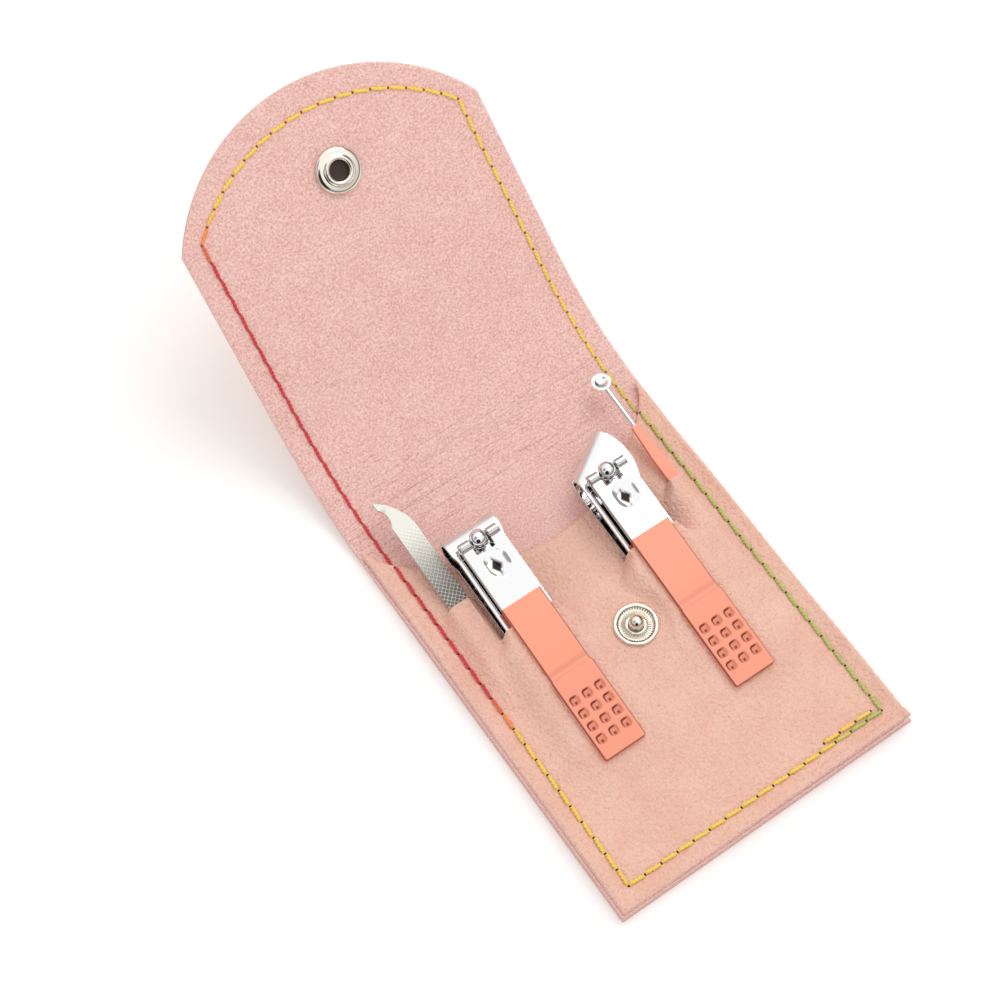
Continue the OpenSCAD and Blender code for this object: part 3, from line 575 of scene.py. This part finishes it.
def pocket_leather(materials, settings):
    """Pocket leather as one sheet on a grid whose rows are doubled at each slit: the row
    before the slit is the lip over the tool, the row past it lies under the tool."""
    tools = [
        flat_cover(FILE_X, FILE_TIP, FILE_LEN, FILE_SLOPE, FILE_T, FILE_W, FILE_SLIT),
        flat_cover(PICK_X, PICK_TIP, PICK_LEN, PICK_SLOPE, PICK_T, PICK_W, PICK_SLIT),
        *(clipper_cover(*place) for place in CLIPPERS.values()),
    ]
    # A slit is longer than its tool is wide by a lip at each end.
    columns = list(EDGE_COLUMNS)
    for tool in tools:
        reach = tool["half"] + LIP
        left, right = tool["x"] - reach, tool["x"] + reach
        columns += [left, left + SLIT_END, right - SLIT_END, right]
    across = spread(sorted(columns), POCKET_STEP)
    slits = [CLIP_SLIT, PICK_SLIT, FILE_SLIT]
    stops = [0, 0.3, *slits, MOUTH_V - 1.2]
    rows = sorted([(v, 0) for v in spread(stops, POCKET_STEP)] + [(place, 1) for place in slits])
    level, side = np.array(rows).T
    share = spread([0, 0.97, 1], 0.025)[1:]
    u, v = sheet_grid(across, level, mouth_at(across), share)
    second = np.append(side, np.zeros(len(share)))[:, None] == 1
    past = {
        place: (v > place + SAME) | ((np.abs(v - place) < SAME) & second) for place in slits}
    lift = pocket_lift(u, v, tools, past)
    bend = np.maximum(v - BACK_LEN, 0) ** 2 / (2 * FOLD_R)
    mouth_rim = np.hypot(u, v - MOUTH_V - END_R) - END_R
    rim = np.minimum(np.minimum(HALF_W - np.abs(u), v), mouth_rim)
    roll = POCKET_ROLL * ease(1 - rim / ROLL_W)
    side_seam = np.abs(np.abs(u) - SEAM_X) + FAR * (v < SEAM_IN - 0.5)
    bottom_seam = np.abs(v - SEAM_IN) + FAR * (np.abs(u) > SEAM_X + 0.5)
    groove = seam_groove(np.minimum(side_seam, bottom_seam), settings)
    # Outside the seam the two layers part a little towards the cut edges.
    below = (0.75 + 0.25 * np.sin(u / 7) * np.sin(u / 2.9 + 1)) * (0.5 + 0.4 * u / HALF_W)
    beside = 0.45 * (0.7 + 0.3 * np.sin(v / 9))
    past_seam = SEAM_IN - 0.6
    flare = settings.flare / MM * (
        below * ease((past_seam - v) / 4) + beside * ease((past_seam - HALF_W + np.abs(u)) / 4))
    low = LEATHER + lift + bend + flare
    top = in_frame(np.stack([*leaned(u, v, POCKET_LEAN), low + POCKET - groove - roll], -1))
    bottom = in_frame(np.stack([*leaned(u, v, POCKET_FOOT_LEAN), low + 0.02], -1))
    index = np.arange(u.size).reshape(u.shape)
    keep = np.ones((len(v) - 1, len(across) - 1), bool)
    for place in slits:
        after = rows.index((place, 1))
        keep[after - 1] = False
        whole = np.ones(len(across), bool)
        for tool in tools:
            if tool["slit"] == place:
                whole &= np.abs(across - tool["x"]) > tool["half"] + LIP - SAME
        index[after, whole] = index[after - 1, whole]
    points, faces, kinds, values = slab(top, bottom, keep, index)
    return new_object("pocket_leather", points, faces, materials, kinds, **values)


# ---------- stitching ----------

YELLOW, GREEN, RED, ORANGE = "#F4D450", "#B7C565", "#D02E36", "#F0853F"
# Colour of the thread at distances round the case: up the left side from its bottom corner,
# round the flap, down the right side and back along the bottom.
TINTS = [
    (44, YELLOW), (50, ORANGE), (57, RED), (SIDE_S - 6, RED), (SIDE_S + 1, ORANGE),
    (SIDE_S + 8, YELLOW), (SIDE_S + ARC + 68, YELLOW), (SIDE_S + ARC + 96, GREEN),
    (2 * SIDE_S + ARC, GREEN), (2 * SIDE_S + ARC + 12, YELLOW),
]


def tint_at(distance):
    """Linear colour of the thread at distances round the case."""
    stops = [t for t, _ in TINTS]
    colours = np.array([linear(code) for _, code in TINTS])
    return np.stack([np.interp(distance, stops, colours[:, k]) for k in range(4)], -1)


def run_of(start, end, pitch):
    """Middles of the stitches between two distances along a line."""
    count = max(1, int((end - start) / pitch))
    return start + (np.arange(count) + 0.5) * (end - start) / count


def joined(skins):
    """One skin of several: their points in a row, and their faces with numbers to match."""
    starts = np.cumsum([0] + [len(points) for points, _ in skins])
    faces = [
        [k + start for k in face] for start, (_, sides) in zip(starts, skins) for face in sides]
    return np.concatenate([points for points, _ in skins]), faces


def stitch_skins(middles, along, up, settings):
    """Stitches of two plies twisted round each other: each ply is a tube whose middle turns
    round the stitch's line, with both ends pulled down into the needle holes."""
    length, thick = settings.stitch_length / MM, settings.thread / MM
    t = np.linspace(-1, 1, 19)
    sink = 0.1 + 0.2 * thick - 0.85 * thick * np.abs(t) ** 10
    ring = np.arange(8) * 2 * math.pi / 8
    radius = 0.35 * thick * (1 - 0.3 * np.abs(t) ** 5)
    skins = []
    for middle, ahead, normal in zip(middles, along, up):
        across = np.cross(ahead, normal)
        ahead = ahead + 0.07 * across
        for ply in (0, math.pi):
            turn = math.pi * t * length / TWIST_LEN + ply
            line = (
                middle + ahead * (t * length / 2)[:, None]
                + normal * (sink + 0.2 * thick * np.sin(turn))[:, None]
                + across * (0.2 * thick * np.cos(turn))[:, None]
            )
            skins.append(tube(line[:, None, :] + radius[:, None, None] * (
                across * np.cos(ring)[None, :, None] + normal * np.sin(ring)[None, :, None])))
    return joined(skins)


def hole_skins(middles, along, up, settings):
    """Needle holes: low lenses at both ends of each stitch, dark with painted shadow."""
    reach = settings.stitch_length / MM / 2 + 0.06
    angle = np.arange(10)[:, None] * 2 * math.pi / 10
    skins = []
    for middle, ahead, normal in zip(middles, along, up):
        across = np.cross(ahead, normal)
        oval = 0.26 * ahead * np.cos(angle) + 0.34 * across * np.sin(angle)
        for end in (-1, 1):
            skins.append(tube(np.stack([
                middle + ahead * end * reach + r * oval + normal * h
                for r, h in ((0.9, -0.3), (1.0, -0.06), (0.5, -0.02))
            ])))
    return joined(skins)


def seam_parts(settings):
    """Middles, directions and distances of the stitches, by the body that carries them."""
    pitch = settings.stitch_pitch / MM
    mouth = mouth_at(SEAM_X) - 0.6
    parts = {"pouch": [], "fold_low": [], "fold_high": [], "flap": []}

    def put(part, middle, heading, slope, distance):
        c, s = math.cos(slope), math.sin(slope)
        ahead = np.array([heading[0], heading[1] * c, heading[1] * s])
        parts[part].append((np.array(middle, float), ahead, np.array([0, -s, c]), distance))

    def put_on_hide(part, u, s, heading, slope, distance):
        put(part, hide_point(u, s, LEATHER - SEAM_SINK), heading, slope, distance)

    for sign in (-1, 1):
        def place(d):
            return d if sign < 0 else 2 * SIDE_S + ARC - d
        for s in run_of(SEAM_IN, mouth, pitch):
            put("pouch", (sign * SEAM_X, s, BORDER_Z), (0, 1), 0, place(s))
        for s in run_of(mouth + 0.8, SIDE_S, pitch):
            slope = np.clip((s - BACK_LEN) / FOLD_R, 0, FOLD_ANGLE)
            part = "fold_low" if s < PART_S else "fold_high" if s < FLAP_S + FOLD_FLAT else "flap"
            put_on_hide(part, sign * SEAM_X, s, (0, 1), slope, place(s))
    for d in run_of(0, 2 * SEAM_X, pitch):
        put("pouch", (SEAM_X - d, SEAM_IN, BORDER_Z), (1, 0), 0, 2 * SIDE_S + ARC - SEAM_IN + d)
    for angle in run_of(-SEAM_TURN, SEAM_TURN, pitch / SEAM_R):
        c, s = math.cos(angle), math.sin(angle)
        put_on_hide("flap", SEAM_R * s, SEAM_CENTRE + SEAM_R * c, (c, -s), FOLD_ANGLE,
                    SIDE_S + ARC / 2 + angle * SEAM_R)
    # The thread's end overlaps the first stitches of the bottom run.
    for d in run_of(2, 15, pitch):
        put("pouch", (SEAM_X - d, SEAM_IN + 1.2, BORDER_Z + 0.1), (1, 0), 0, 0)
    return parts


# ---------- levers ----------

def dimples(x, y):
    """Depth and painted shade of the thumb pad's dimples: squares with round corners, pressed
    deeper at a point, with painted shade at that point, on the rim away from the light and a little
    over each dimple."""
    depth, shade = np.zeros_like(x), np.zeros_like(x)
    for i in (-1, 0, 1):
        for j in range(4):
            dx = (x - i * DIMPLE_PITCH) / (DIMPLE / 2)
            dy = (y + LEVER_LEN - FIRST_DIMPLE - j * DIMPLE_PITCH) / (DIMPLE / 2)
            q = (dx**4 + dy**4) ** 0.25
            pit = np.exp(-(dx**2 + (dy + 0.4) ** 2) / 0.15)
            rim = ease((1.2 - q) / 0.3) * ease((q - 0.55) / 0.3) * ease((dy - dx + 0.4) / 1.2)
            depth += DIMPLE_DEPTH * ease((1.1 - q) / 0.5) + 0.2 * pit
            shade = np.max([shade, rim, pit, 0.24 * ease((1.1 - q) / 0.3)], 0)
    return depth, shade


def lever_skin():
    """Lever as a sheet of rows from the tail to the nose and columns across: a flat top
    with a raised thumb pad of pressed dimples, an oval hollow behind the crossbar, edges
    rounded by a quarter circle, and a nose rolled round the crossbar's axis."""
    slot = (HEAD_R + 0.25) * 2 / LEVER_W
    rows = spread([0, 0.15, 0.5, PAD_LEN - PAD_RAMP, PAD_LEN, LEVER_LEN - SLOT_BACK,
                   LEVER_LEN - 1.4, LEVER_LEN - 1, LEVER_LEN], 0.21)
    grid = spread([-1, -0.97, -0.9, -slot, slot, 0.9, 0.97, 1], 0.04)
    tail = rows[:, None]
    y = tail - LEVER_LEN + 0 * grid
    ramp = ease((PAD_LEN - tail) / PAD_RAMP)
    width = LEVER_W + (PAD_W - LEVER_W) * ramp - 2 * rounding(tail, LEVER_CORNER)
    x = grid * width / 2
    edge = np.minimum(width / 2 - np.abs(x), tail)
    soft = rounding(edge, LEVER_EDGE)
    dip = 0.18 * np.exp(-(((tail - PAD_LEN - 1.2) / 2.2) ** 2))
    nose = np.sqrt(np.maximum(NOSE_R**2 - y**2, 0))
    away = np.maximum(np.abs(y + HOLLOW_Y) - 0.6, 0)
    bowl = np.sqrt(np.maximum(HOLLOW_R**2 - (x - 0.4) ** 2 - away**2, 0)) - HOLLOW_R + HOLLOW_DEPTH
    depth, shade = dimples(x, y)
    top = np.maximum(LEVER_T / 2 + PAD_STEP * ramp - dip, nose) - soft - np.maximum(bowl, 0) - depth
    bottom = -LEVER_T / 2 + np.maximum(0.5 * soft, 0.06 * (tail > LEVER_LEN - 1.3))
    # Painted shade darkens the enamel along the edges and in the bend; the pad is a little darker
    # throughout.
    shade = np.maximum(shade, np.maximum(0.15 * (tail < PAD_LEN), 0.8 * ease((0.45 - edge) / 0.4)))
    shade = np.maximum(shade, 0.26 * np.exp(-(((tail - PAD_LEN - 0.9) / 1.1) ** 2)))
    # Painted reflection: a dark diamond on the left of the hollow. Painted shade greys the chrome
    # along the edges and on the rolled ears.
    painted_reflection = ease((1 - np.abs(x + 0.1) / 2.0 - np.abs(y + HOLLOW_Y + 0.5) / 3.1) / 0.55)
    painted_shade_and_reflection = 0.5 * ease((0.45 - edge) / 0.35) + 0.35 * (tail > LEVER_LEN - 1.4)
    painted_shade_and_reflection = np.maximum(np.minimum(painted_shade_and_reflection, 0.6), painted_reflection)
    # Rows past the crossbar turn down round its axis; the roll's inside is the bottom.
    roll = np.linspace(0, 1.45 * math.pi, 26)[1:, None]
    nose_x = grid * LEVER_W / 2 + 0 * roll

    def curl(radius):
        rings = np.broadcast_arrays(nose_x, np.sin(roll) * radius, np.cos(roll) * radius)
        return np.stack(rings, -1)
    outer = curl(NOSE_R - rounding(LEVER_W / 2 - np.abs(nose_x), LEVER_EDGE))
    tops = np.concatenate([np.stack([x, y, top], -1), outer])
    bottoms = np.concatenate([np.stack([x, y, bottom], -1), curl(ROLL_INSIDE)])
    keep = np.ones((len(tops) - 1, len(grid) - 1), bool)
    open_rows = np.append(rows[:-1] > LEVER_LEN - SLOT_BACK - SAME, np.ones(len(roll), bool))
    keep[np.ix_(open_rows, np.abs(grid[1:] + grid[:-1]) / 2 < slot)] = False
    # The chrome's groove value carries its painted shade and reflection; the enamel's shade value
    # carries its painted shade.
    looks = {"shade": np.concatenate([shade, 0 * nose_x]),
             "groove": np.concatenate([painted_shade_and_reflection, 0 * nose_x + 0.35])}
    return tops, bottoms, keep, looks


def clipper_points(points, side):
    """Points of a clipper's crossbar frame, in the frame in metres."""
    place_x, tail = CLIPPERS[side]
    climb = math.asin(POCKET / (CLIP_SLIT - tail))

    def turned(p, angle):
        c, s = math.cos(angle), math.sin(angle)
        x, y, z = np.moveaxis(p, -1, 0)
        return np.stack([x, c * y - s * z, s * y + c * z], -1)
    local = turned(points, JAW_SLOPE) + [0, PIN_Y, BAR_Z]
    return in_frame(turned(local, climb) + [place_x, tail, TAIL_Z])


# ---------- snap fastener ----------

def stud_profile():
    """Stud: rolled rim, ridged dish, low collar, neck and round knob."""
    knob = [(KNOB_R * math.sin(a), STUD_H - KNOB_R + KNOB_R * math.cos(a))
            for a in np.linspace(math.radians(142), 0, 22)]
    base = rounded([
        (0, -0.05), (4.6, -0.05), (5.0, 0.1), (STUD_R, 0.4), (4.95, 0.75), (4.6, 0.86),
        (4.2, 0.72), (3.95, 0.46), (3.7, 0.36), (3.3, 0.36), (2.9, 0.38), (2.55, 0.42),
        (2.35, 0.62), (2.05, 0.72), (1.75, 0.66), (1.5, 0.62), (1.42, 0.8), (1.3, 1.0),
    ], 3)
    return np.concatenate([base, np.array(knob)[1:]])


def stud_ridges(r, angle):
    """Fine radial ridges in the stud's dish, 0.16 mm up and down."""
    band = plateau(r - 3.2, 0.6, 0.25)
    return 0.16 * band * np.cos(STUD_RIDGES * angle) * ((r > 2.3) & (r < 4.2))


def socket_profile():
    """Socket: domed ring that dips to a raised lip round its hole."""
    return rounded([
        (0, 0.05), (4.9, 0.05), (5.25, 0.15), (SOCKET_R, 0.55), (5.2, 1.0), (4.6, 1.3),
        (4.0, 1.36), (3.6, 1.42), (3.3, 1.7), (2.95, SOCKET_H), (2.55, 1.72),
        (SOCKET_HOLE_R, 1.4), (SOCKET_HOLE_R, 0.5), (2.1, 0.28), (1.5, 0.25), (0, 0.25),
    ], 3)


def cap_profile():
    """Cap: shallow dome with a rolled edge."""
    return rounded([
        (0, 0.02), (5.2, 0.02), (CAP_R, 0.2), (5.45, 0.6), (4.4, 1.15), (2.4, 1.6), (0, CAP_H),
    ], 3)


# ---------- settings and operators ----------

def number(name, text, default, unit="LENGTH"):
    """A number that a user may change; a length is in metres."""
    return bpy.props.FloatProperty(
        name=name, description=text, default=default, unit=unit, precision=5)


def dye(name, text, code):
    """A colour that a user may change, from its sRGB hex code."""
    return bpy.props.FloatVectorProperty(
        name=name, description=text, default=linear(code), size=4, subtype="COLOR")


class CaseSettings(bpy.types.PropertyGroup):
    """Sizes and colours of the surface work."""
    grain: number("Grain", "Size of the leather's pebbles", 0.0009)
    nap: number("Nap", "Size of the suede's grains", 0.0005)
    groove: number("Groove", "Depth of the groove under the seam", 0.00018)
    flare: number("Flare", "Gap between the layers at the bottom corners", 0.0021)
    stitch_pitch: number("Pitch", "Distance from one stitch to the next", 0.0042)
    stitch_length: number("Stitch", "Length of a stitch between its holes", 0.00405)
    thread: number("Thread", "Thickness of the thread", 0.0008)
    paint_line: number("Paint line", "Distance of the enamel from the crossbar", 0.0163)
    leather: dye("Leather", "Pale tone of the smooth leather", "#F0C5B3")
    suede: dye("Suede", "Pale tone of the suede", "#FAD4CC")
    enamel: dye("Enamel", "Colour of the levers and the ear pick's grip", "#F79B7D")


class StageSettings(bpy.types.PropertyGroup):
    """Camera and light."""
    elevation: number("Elevation", "Height angle of the camera", math.radians(65.148), "ROTATION")
    azimuth: number("Azimuth", "Turn of the camera", math.radians(-34.828), "ROTATION")
    distance: number("Distance", "Distance of the camera", 0.50248)
    lens: number("Lens", "Focal length", 79.2, "CAMERA")
    key: number("Key", "Power of the main light", 2.1, "POWER")
    sky: number("Sky", "Strength of the light tent", 0.9, "NONE")


def shared(name, make, *values):
    """The material with this name, made when it is first asked for."""
    return bpy.data.materials.get(name) or make(*values)


def leathers(settings):
    """Suede above, smooth leather below and the cut edge, as the outer leather lies."""
    return [
        shared("Suede", suede, settings.nap / MM, settings.suede),
        shared("Smooth leather", smooth_leather, settings.grain / MM, settings.leather),
        shared("Cut leather edge", cut_edge),
    ]


def dress(name, material, edge=0.1, segments=2):
    """Rounds the edges of a rigid solid by modifiers and gives it its material."""
    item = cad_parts[name]
    item.data.materials.clear()
    item.data.materials.append(material)
    item.data.polygons.foreach_set("use_smooth", np.ones(len(item.data.polygons), bool))
    weld = item.modifiers.new("Weld", "WELD")
    weld.merge_threshold = 1e-6
    bevel = item.modifiers.new("Edges", "BEVEL")
    bevel.width = edge * MM
    bevel.segments = segments
    bevel.limit_method = "ANGLE"
    bevel.angle_limit = math.radians(32)
    bevel.use_clamp_overlap = True
    item.modifiers.new("Normals", "WEIGHTED_NORMAL").keep_sharp = True
    return item


class CASE_OT_hide(bpy.types.Operator):
    """Outer leather: back, fold and flap in two sheets that bend at the fold"""
    bl_idname = "case.hide"
    bl_label = "Outer leather"

    def execute(self, context):
        settings = context.scene.case_settings
        materials = leathers(settings)
        low = hide_slab(0, PART_S, materials, "outer_leather_back", settings)
        high = hide_slab(PART_S, FLAP_S + FLAP_LEN, materials, "outer_leather_flap", settings)
        for item, bend in ((low, "low"), (high, "high")):
            bend_over(item)
        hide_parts("back_panel", "fold")
        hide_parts("flap")
        return {"FINISHED"}


class CASE_OT_pocket(bpy.types.Operator):
    """Pocket leather with its slits, draped over the tools"""
    bl_idname = "case.pocket"
    bl_label = "Pocket leather"

    def execute(self, context):
        settings = context.scene.case_settings
        inner, outer, edge = leathers(settings)
        item = pocket_leather([outer, inner, edge], settings)
        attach(item, "pouch")
        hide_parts("front_panel")
        return {"FINISHED"}


class CASE_OT_stitching(bpy.types.Operator):
    """Seam of twisted thread with its needle holes"""
    bl_idname = "case.stitching"
    bl_label = "Stitching"

    def execute(self, context):
        settings = context.scene.case_settings
        thread = shared("Variegated thread", polyester_thread)
        bare = shared("Needle hole", needle_hole, "Needle hole", "#6A3A26")
        filled = shared("Filled needle hole", needle_hole, "Filled needle hole", "#A05A50")
        hosts = {"pouch": "pouch_stitching", "fold_low": "fold_stitching", "flap": "flap_stitching"}
        for part, stitches in seam_parts(settings).items():
            middles, along, up, distances = map(np.array, zip(*stitches))
            points, faces = stitch_skins(middles, along, up, settings)
            tints = np.repeat(tint_at(distances), len(points) // len(stitches), 0)
            seam = new_object(
                f"seam_{part}", in_frame(points), faces, [thread], sharp=80, tint=tints)
            sink, hole = (0, bare) if part == "pouch" else (SEAM_SINK, filled)
            points, faces = hole_skins(middles + sink * up, along, up, settings)
            holes = new_object(f"holes_{part}", in_frame(points), faces, [hole])
            for item in (seam, holes):
                if part in ("pouch", "flap"):
                    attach(item, part)
                else:
                    bend_over(item)
            if part in hosts:
                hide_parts(hosts[part])
        return {"FINISHED"}


class CASE_OT_clippers(bpy.types.Operator):
    """Both nail clippers: chromed bodies and two-tone levers"""
    bl_idname = "case.clippers"
    bl_label = "Nail clippers"

    def execute(self, context):
        settings = context.scene.case_settings
        metal = shared("Chrome", chrome)
        paint = shared("Coral enamel", coral_enamel, settings.enamel)
        for side in CLIPPERS:
            for part in ("lower_plate", "upper_plate"):
                dress(f"{side}_{part}", metal, 0.12)
            dress(f"{side}_rivet", metal, 0.05)
            dress(f"{side}_pin", metal, 0.06)
            tops, bottoms, keep, looks = lever_skin()
            points, faces, _, values = slab(tops, bottoms, keep, **looks)
            painted = points[faces].mean(1)[:, 1] < -settings.paint_line / MM
            item = new_object(f"{side}_lever_skin", clipper_points(points, side), faces,
                              [metal, paint], painted.astype(int), **values)
            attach(item, f"{side}_lever")
            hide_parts(f"{side}_lever")
        return {"FINISHED"}


class CASE_OT_snap(bpy.types.Operator):
    """Snap fastener: stud, socket ring and cap"""
    bl_idname = "case.snap"
    bl_label = "Snap fastener"

    def execute(self, context):
        metal = shared("Nickel", chrome, "Nickel", "#EDE6DA", 0.14)
        dress("snap_post", metal, 0.05)
        stud, faces = revolve(stud_profile(), 400, stud_ridges)
        x, y, height = stud.T
        # Painted shade in the groove value: dark between the ridges, in a ring near the rim and
        # round the neck, but not on the knob.
        r, between = np.hypot(x, y), 0.5 - 0.5 * np.cos(STUD_RIDGES * np.arctan2(y, x))
        groove = 0.34 * plateau(r - 3.15, 0.6, 0.3) * between**1.6
        groove = np.maximum(groove, 0.5 * plateau(r - 4.1, 0.05, 0.2))
        groove = np.maximum(groove, 0.5 * plateau(r - 1.5, 0.1, 0.25)) * (height < 1.4)
        stud = in_frame(stud + [SNAP_X, STUD_V, BORDER_Z + LIFT])
        item = new_object("stud", stud, faces, [metal], sharp=60, groove=groove)
        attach(item, "pouch")
        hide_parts("snap_stud")

        def on_flap(points, height, sign):
            x = points[:, 0] + SNAP_X
            s = FLAP_S + SOCKET_S + sign * points[:, 1]
            return in_frame(hide_point(x, s, height + sign * points[:, 2]))
        ring, faces = revolve(socket_profile(), 120)
        # The floor and low wall of the socket's hole are painted shade.
        dark = shared("Socket well", socket_painted_shade)
        deep = [max(math.hypot(*ring[k][:2]) for k in face) < SOCKET_HOLE_R - 0.02
                and 0.1 < ring[face[0]][2] < 1.0 for face in faces]
        item = new_object("socket_ring", on_flap(ring, LEATHER, 1), faces, [metal, dark],
                          np.array(deep, int), sharp=60)
        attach(item, "flap")
        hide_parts("snap_socket")
        dome, faces = revolve(cap_profile(), 120)
        item = new_object("cap_dome", on_flap(dome, 0, -1), faces, [metal], sharp=60)
        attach(item, "flap")
        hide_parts("snap_cap")
        return {"FINISHED"}


class CASE_OT_small_tools(bpy.types.Operator):
    """Nail file and ear pick"""
    bl_idname = "case.small_tools"
    bl_label = "File and ear pick"

    def execute(self, context):
        enamel = context.scene.case_settings.enamel
        dress("nail_file", shared("File steel", file_steel, 1.15, 97.0), 0.15)
        dress("ear_pick_spoon", shared("Chrome", chrome), 0.05)
        dress("ear_pick_grip", shared("Coral enamel", coral_enamel, enamel), 0.35, 3)
        return {"FINISHED"}


# ---------- stage ----------

def tent_world(strength):
    """Light tent: even for soft light, and for reflections white above with a dark band
    low down that draws black accents on chrome; white to the camera."""
    world = bpy.data.worlds.new("Light tent")
    bpy.context.scene.world = world
    world.use_nodes = True
    tree = world.node_tree
    tree.nodes.clear()
    way = add(tree, "TexCoord", "Generated")
    up = add(tree, "SeparateXYZ", 2, Vector=way)
    levels = ((0.0, 0.1), (0.2, 0.3), (0.5, 0.8), (0.7, 1.15))
    tent = add(tree, "ValToRGB", stops=[(place, (k, k, k, 1)) for place, k in levels], Fac=up)
    # Black cards stand left, right and below the camera, for the chrome to reflect.
    light = 1.0
    for facing, reach, level in (((-0.6, 0.1, 0.79), 0.93, 0.35), ((0.88, 0.2, 0.43), 0.88, 0.4),
                                 ((-0.47, -0.67, 0.57), 0.9, 0.02)):
        near = add(tree, "VectorMath", "Value", operation="DOT_PRODUCT", i0=way, i1=facing)
        card = add(tree, "MapRange", Value=near, From_Min=reach, From_Max=reach + 0.035,
                   To_Min=1.0, To_Max=level)
        light = add(tree, "Math", operation="MULTIPLY", i0=light, i1=card)
    glossy = add(tree, "Background", Color=tent, Strength=light)
    soft = add(tree, "Background", Color=(1, 0.985, 0.97, 1), Strength=strength)
    lit = add(tree, "MixShader", Fac=add(tree, "LightPath", "Is Glossy Ray"), i1=soft, i2=glossy)
    plain = add(tree, "Background", Color=(1, 1, 1, 1), Strength=1.0)
    seen = add(tree, "MixShader", Fac=add(tree, "LightPath", "Is Camera Ray"), i1=lit, i2=plain)
    add(tree, "OutputWorld", Surface=seen)


def area_light(name, place, size, power):
    """Square soft light that looks at the origin."""
    data = bpy.data.lights.new(name, "AREA")
    data.size, data.energy = size, power
    item = bpy.data.objects.new(name, data)
    bpy.context.scene.collection.objects.link(item)
    item.location = place
    x, y, z = place
    item.rotation_euler = (math.atan2(math.hypot(x, y), z), 0, math.atan2(-x, y) + math.pi)
    return item


class CASE_OT_stage(bpy.types.Operator):
    """Pale floor, light tent and the camera"""
    bl_idname = "case.stage"
    bl_label = "Studio"

    def execute(self, context):
        scene = context.scene
        settings = scene.stage_settings
        scene.view_settings.view_transform = "Standard"
        tent_world(settings.sky)
        half = 1.6
        corners = [(-half, -half, 0), (half, -half, 0), (half, half, 0), (-half, half, 0)]
        paper = surface(
            "White paper", Base_Color=linear("#FAFAFA"), Roughness=0.9,
            Emission_Color=(1, 1, 1, 1), Emission_Strength=0.07)
        floor = new_object("floor", corners, [(0, 1, 2, 3)], [paper])
        key = area_light("key", (0.42, 0.2, 0.75), 0.5, settings.key)
        camera = bpy.data.objects.new("camera", bpy.data.cameras.new("camera"))
        scene.collection.objects.link(camera)
        scene.camera = camera
        camera.data.lens, camera.data.sensor_width = settings.lens, 36
        camera.data.clip_start, camera.data.clip_end = 0.05, 10
        a, e = settings.azimuth, settings.elevation
        back = np.array([math.sin(a) * math.cos(e), -math.cos(a) * math.cos(e), math.sin(e)])
        target = np.array([-0.004307, 0.002803, 0])
        camera.location = target + back * settings.distance
        camera.rotation_euler = (math.pi / 2 - e, 0, a)
        return {"FINISHED"}


class CASE_PT_panel(bpy.types.Panel):
    """Buttons for each piece of the case"""
    bl_idname = "CASE_PT_panel"
    bl_label = "Manicure case"
    bl_space_type = "VIEW_3D"
    bl_region_type = "UI"
    bl_category = "Case"

    def draw(self, context):
        for group in (context.scene.case_settings, context.scene.stage_settings):
            box = self.layout.box()
            for key in type(group).__annotations__:
                box.prop(group, key)
        for operator in OPERATORS:
            self.layout.operator(operator.bl_idname)


OPERATORS = (
    CASE_OT_hide, CASE_OT_pocket, CASE_OT_stitching, CASE_OT_clippers, CASE_OT_snap,
    CASE_OT_small_tools, CASE_OT_stage,
)
CLASSES = (CaseSettings, StageSettings, CASE_PT_panel) + OPERATORS


def register():
    """Adds the classes and their settings."""
    for item in CLASSES:
        bpy.utils.register_class(item)
    bpy.types.Scene.case_settings = bpy.props.PointerProperty(type=CaseSettings)
    bpy.types.Scene.stage_settings = bpy.props.PointerProperty(type=StageSettings)


def unregister():
    """Takes the classes and their settings away."""
    del bpy.types.Scene.stage_settings
    del bpy.types.Scene.case_settings
    for item in reversed(CLASSES):
        bpy.utils.unregister_class(item)


def main():
    """Dresses the whole case."""
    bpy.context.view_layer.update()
    register()
    for operator in OPERATORS:
        group, name = operator.bl_idname.split(".")
        getattr(getattr(bpy.ops, group), name)()


if __name__ == "__main__":
    main()
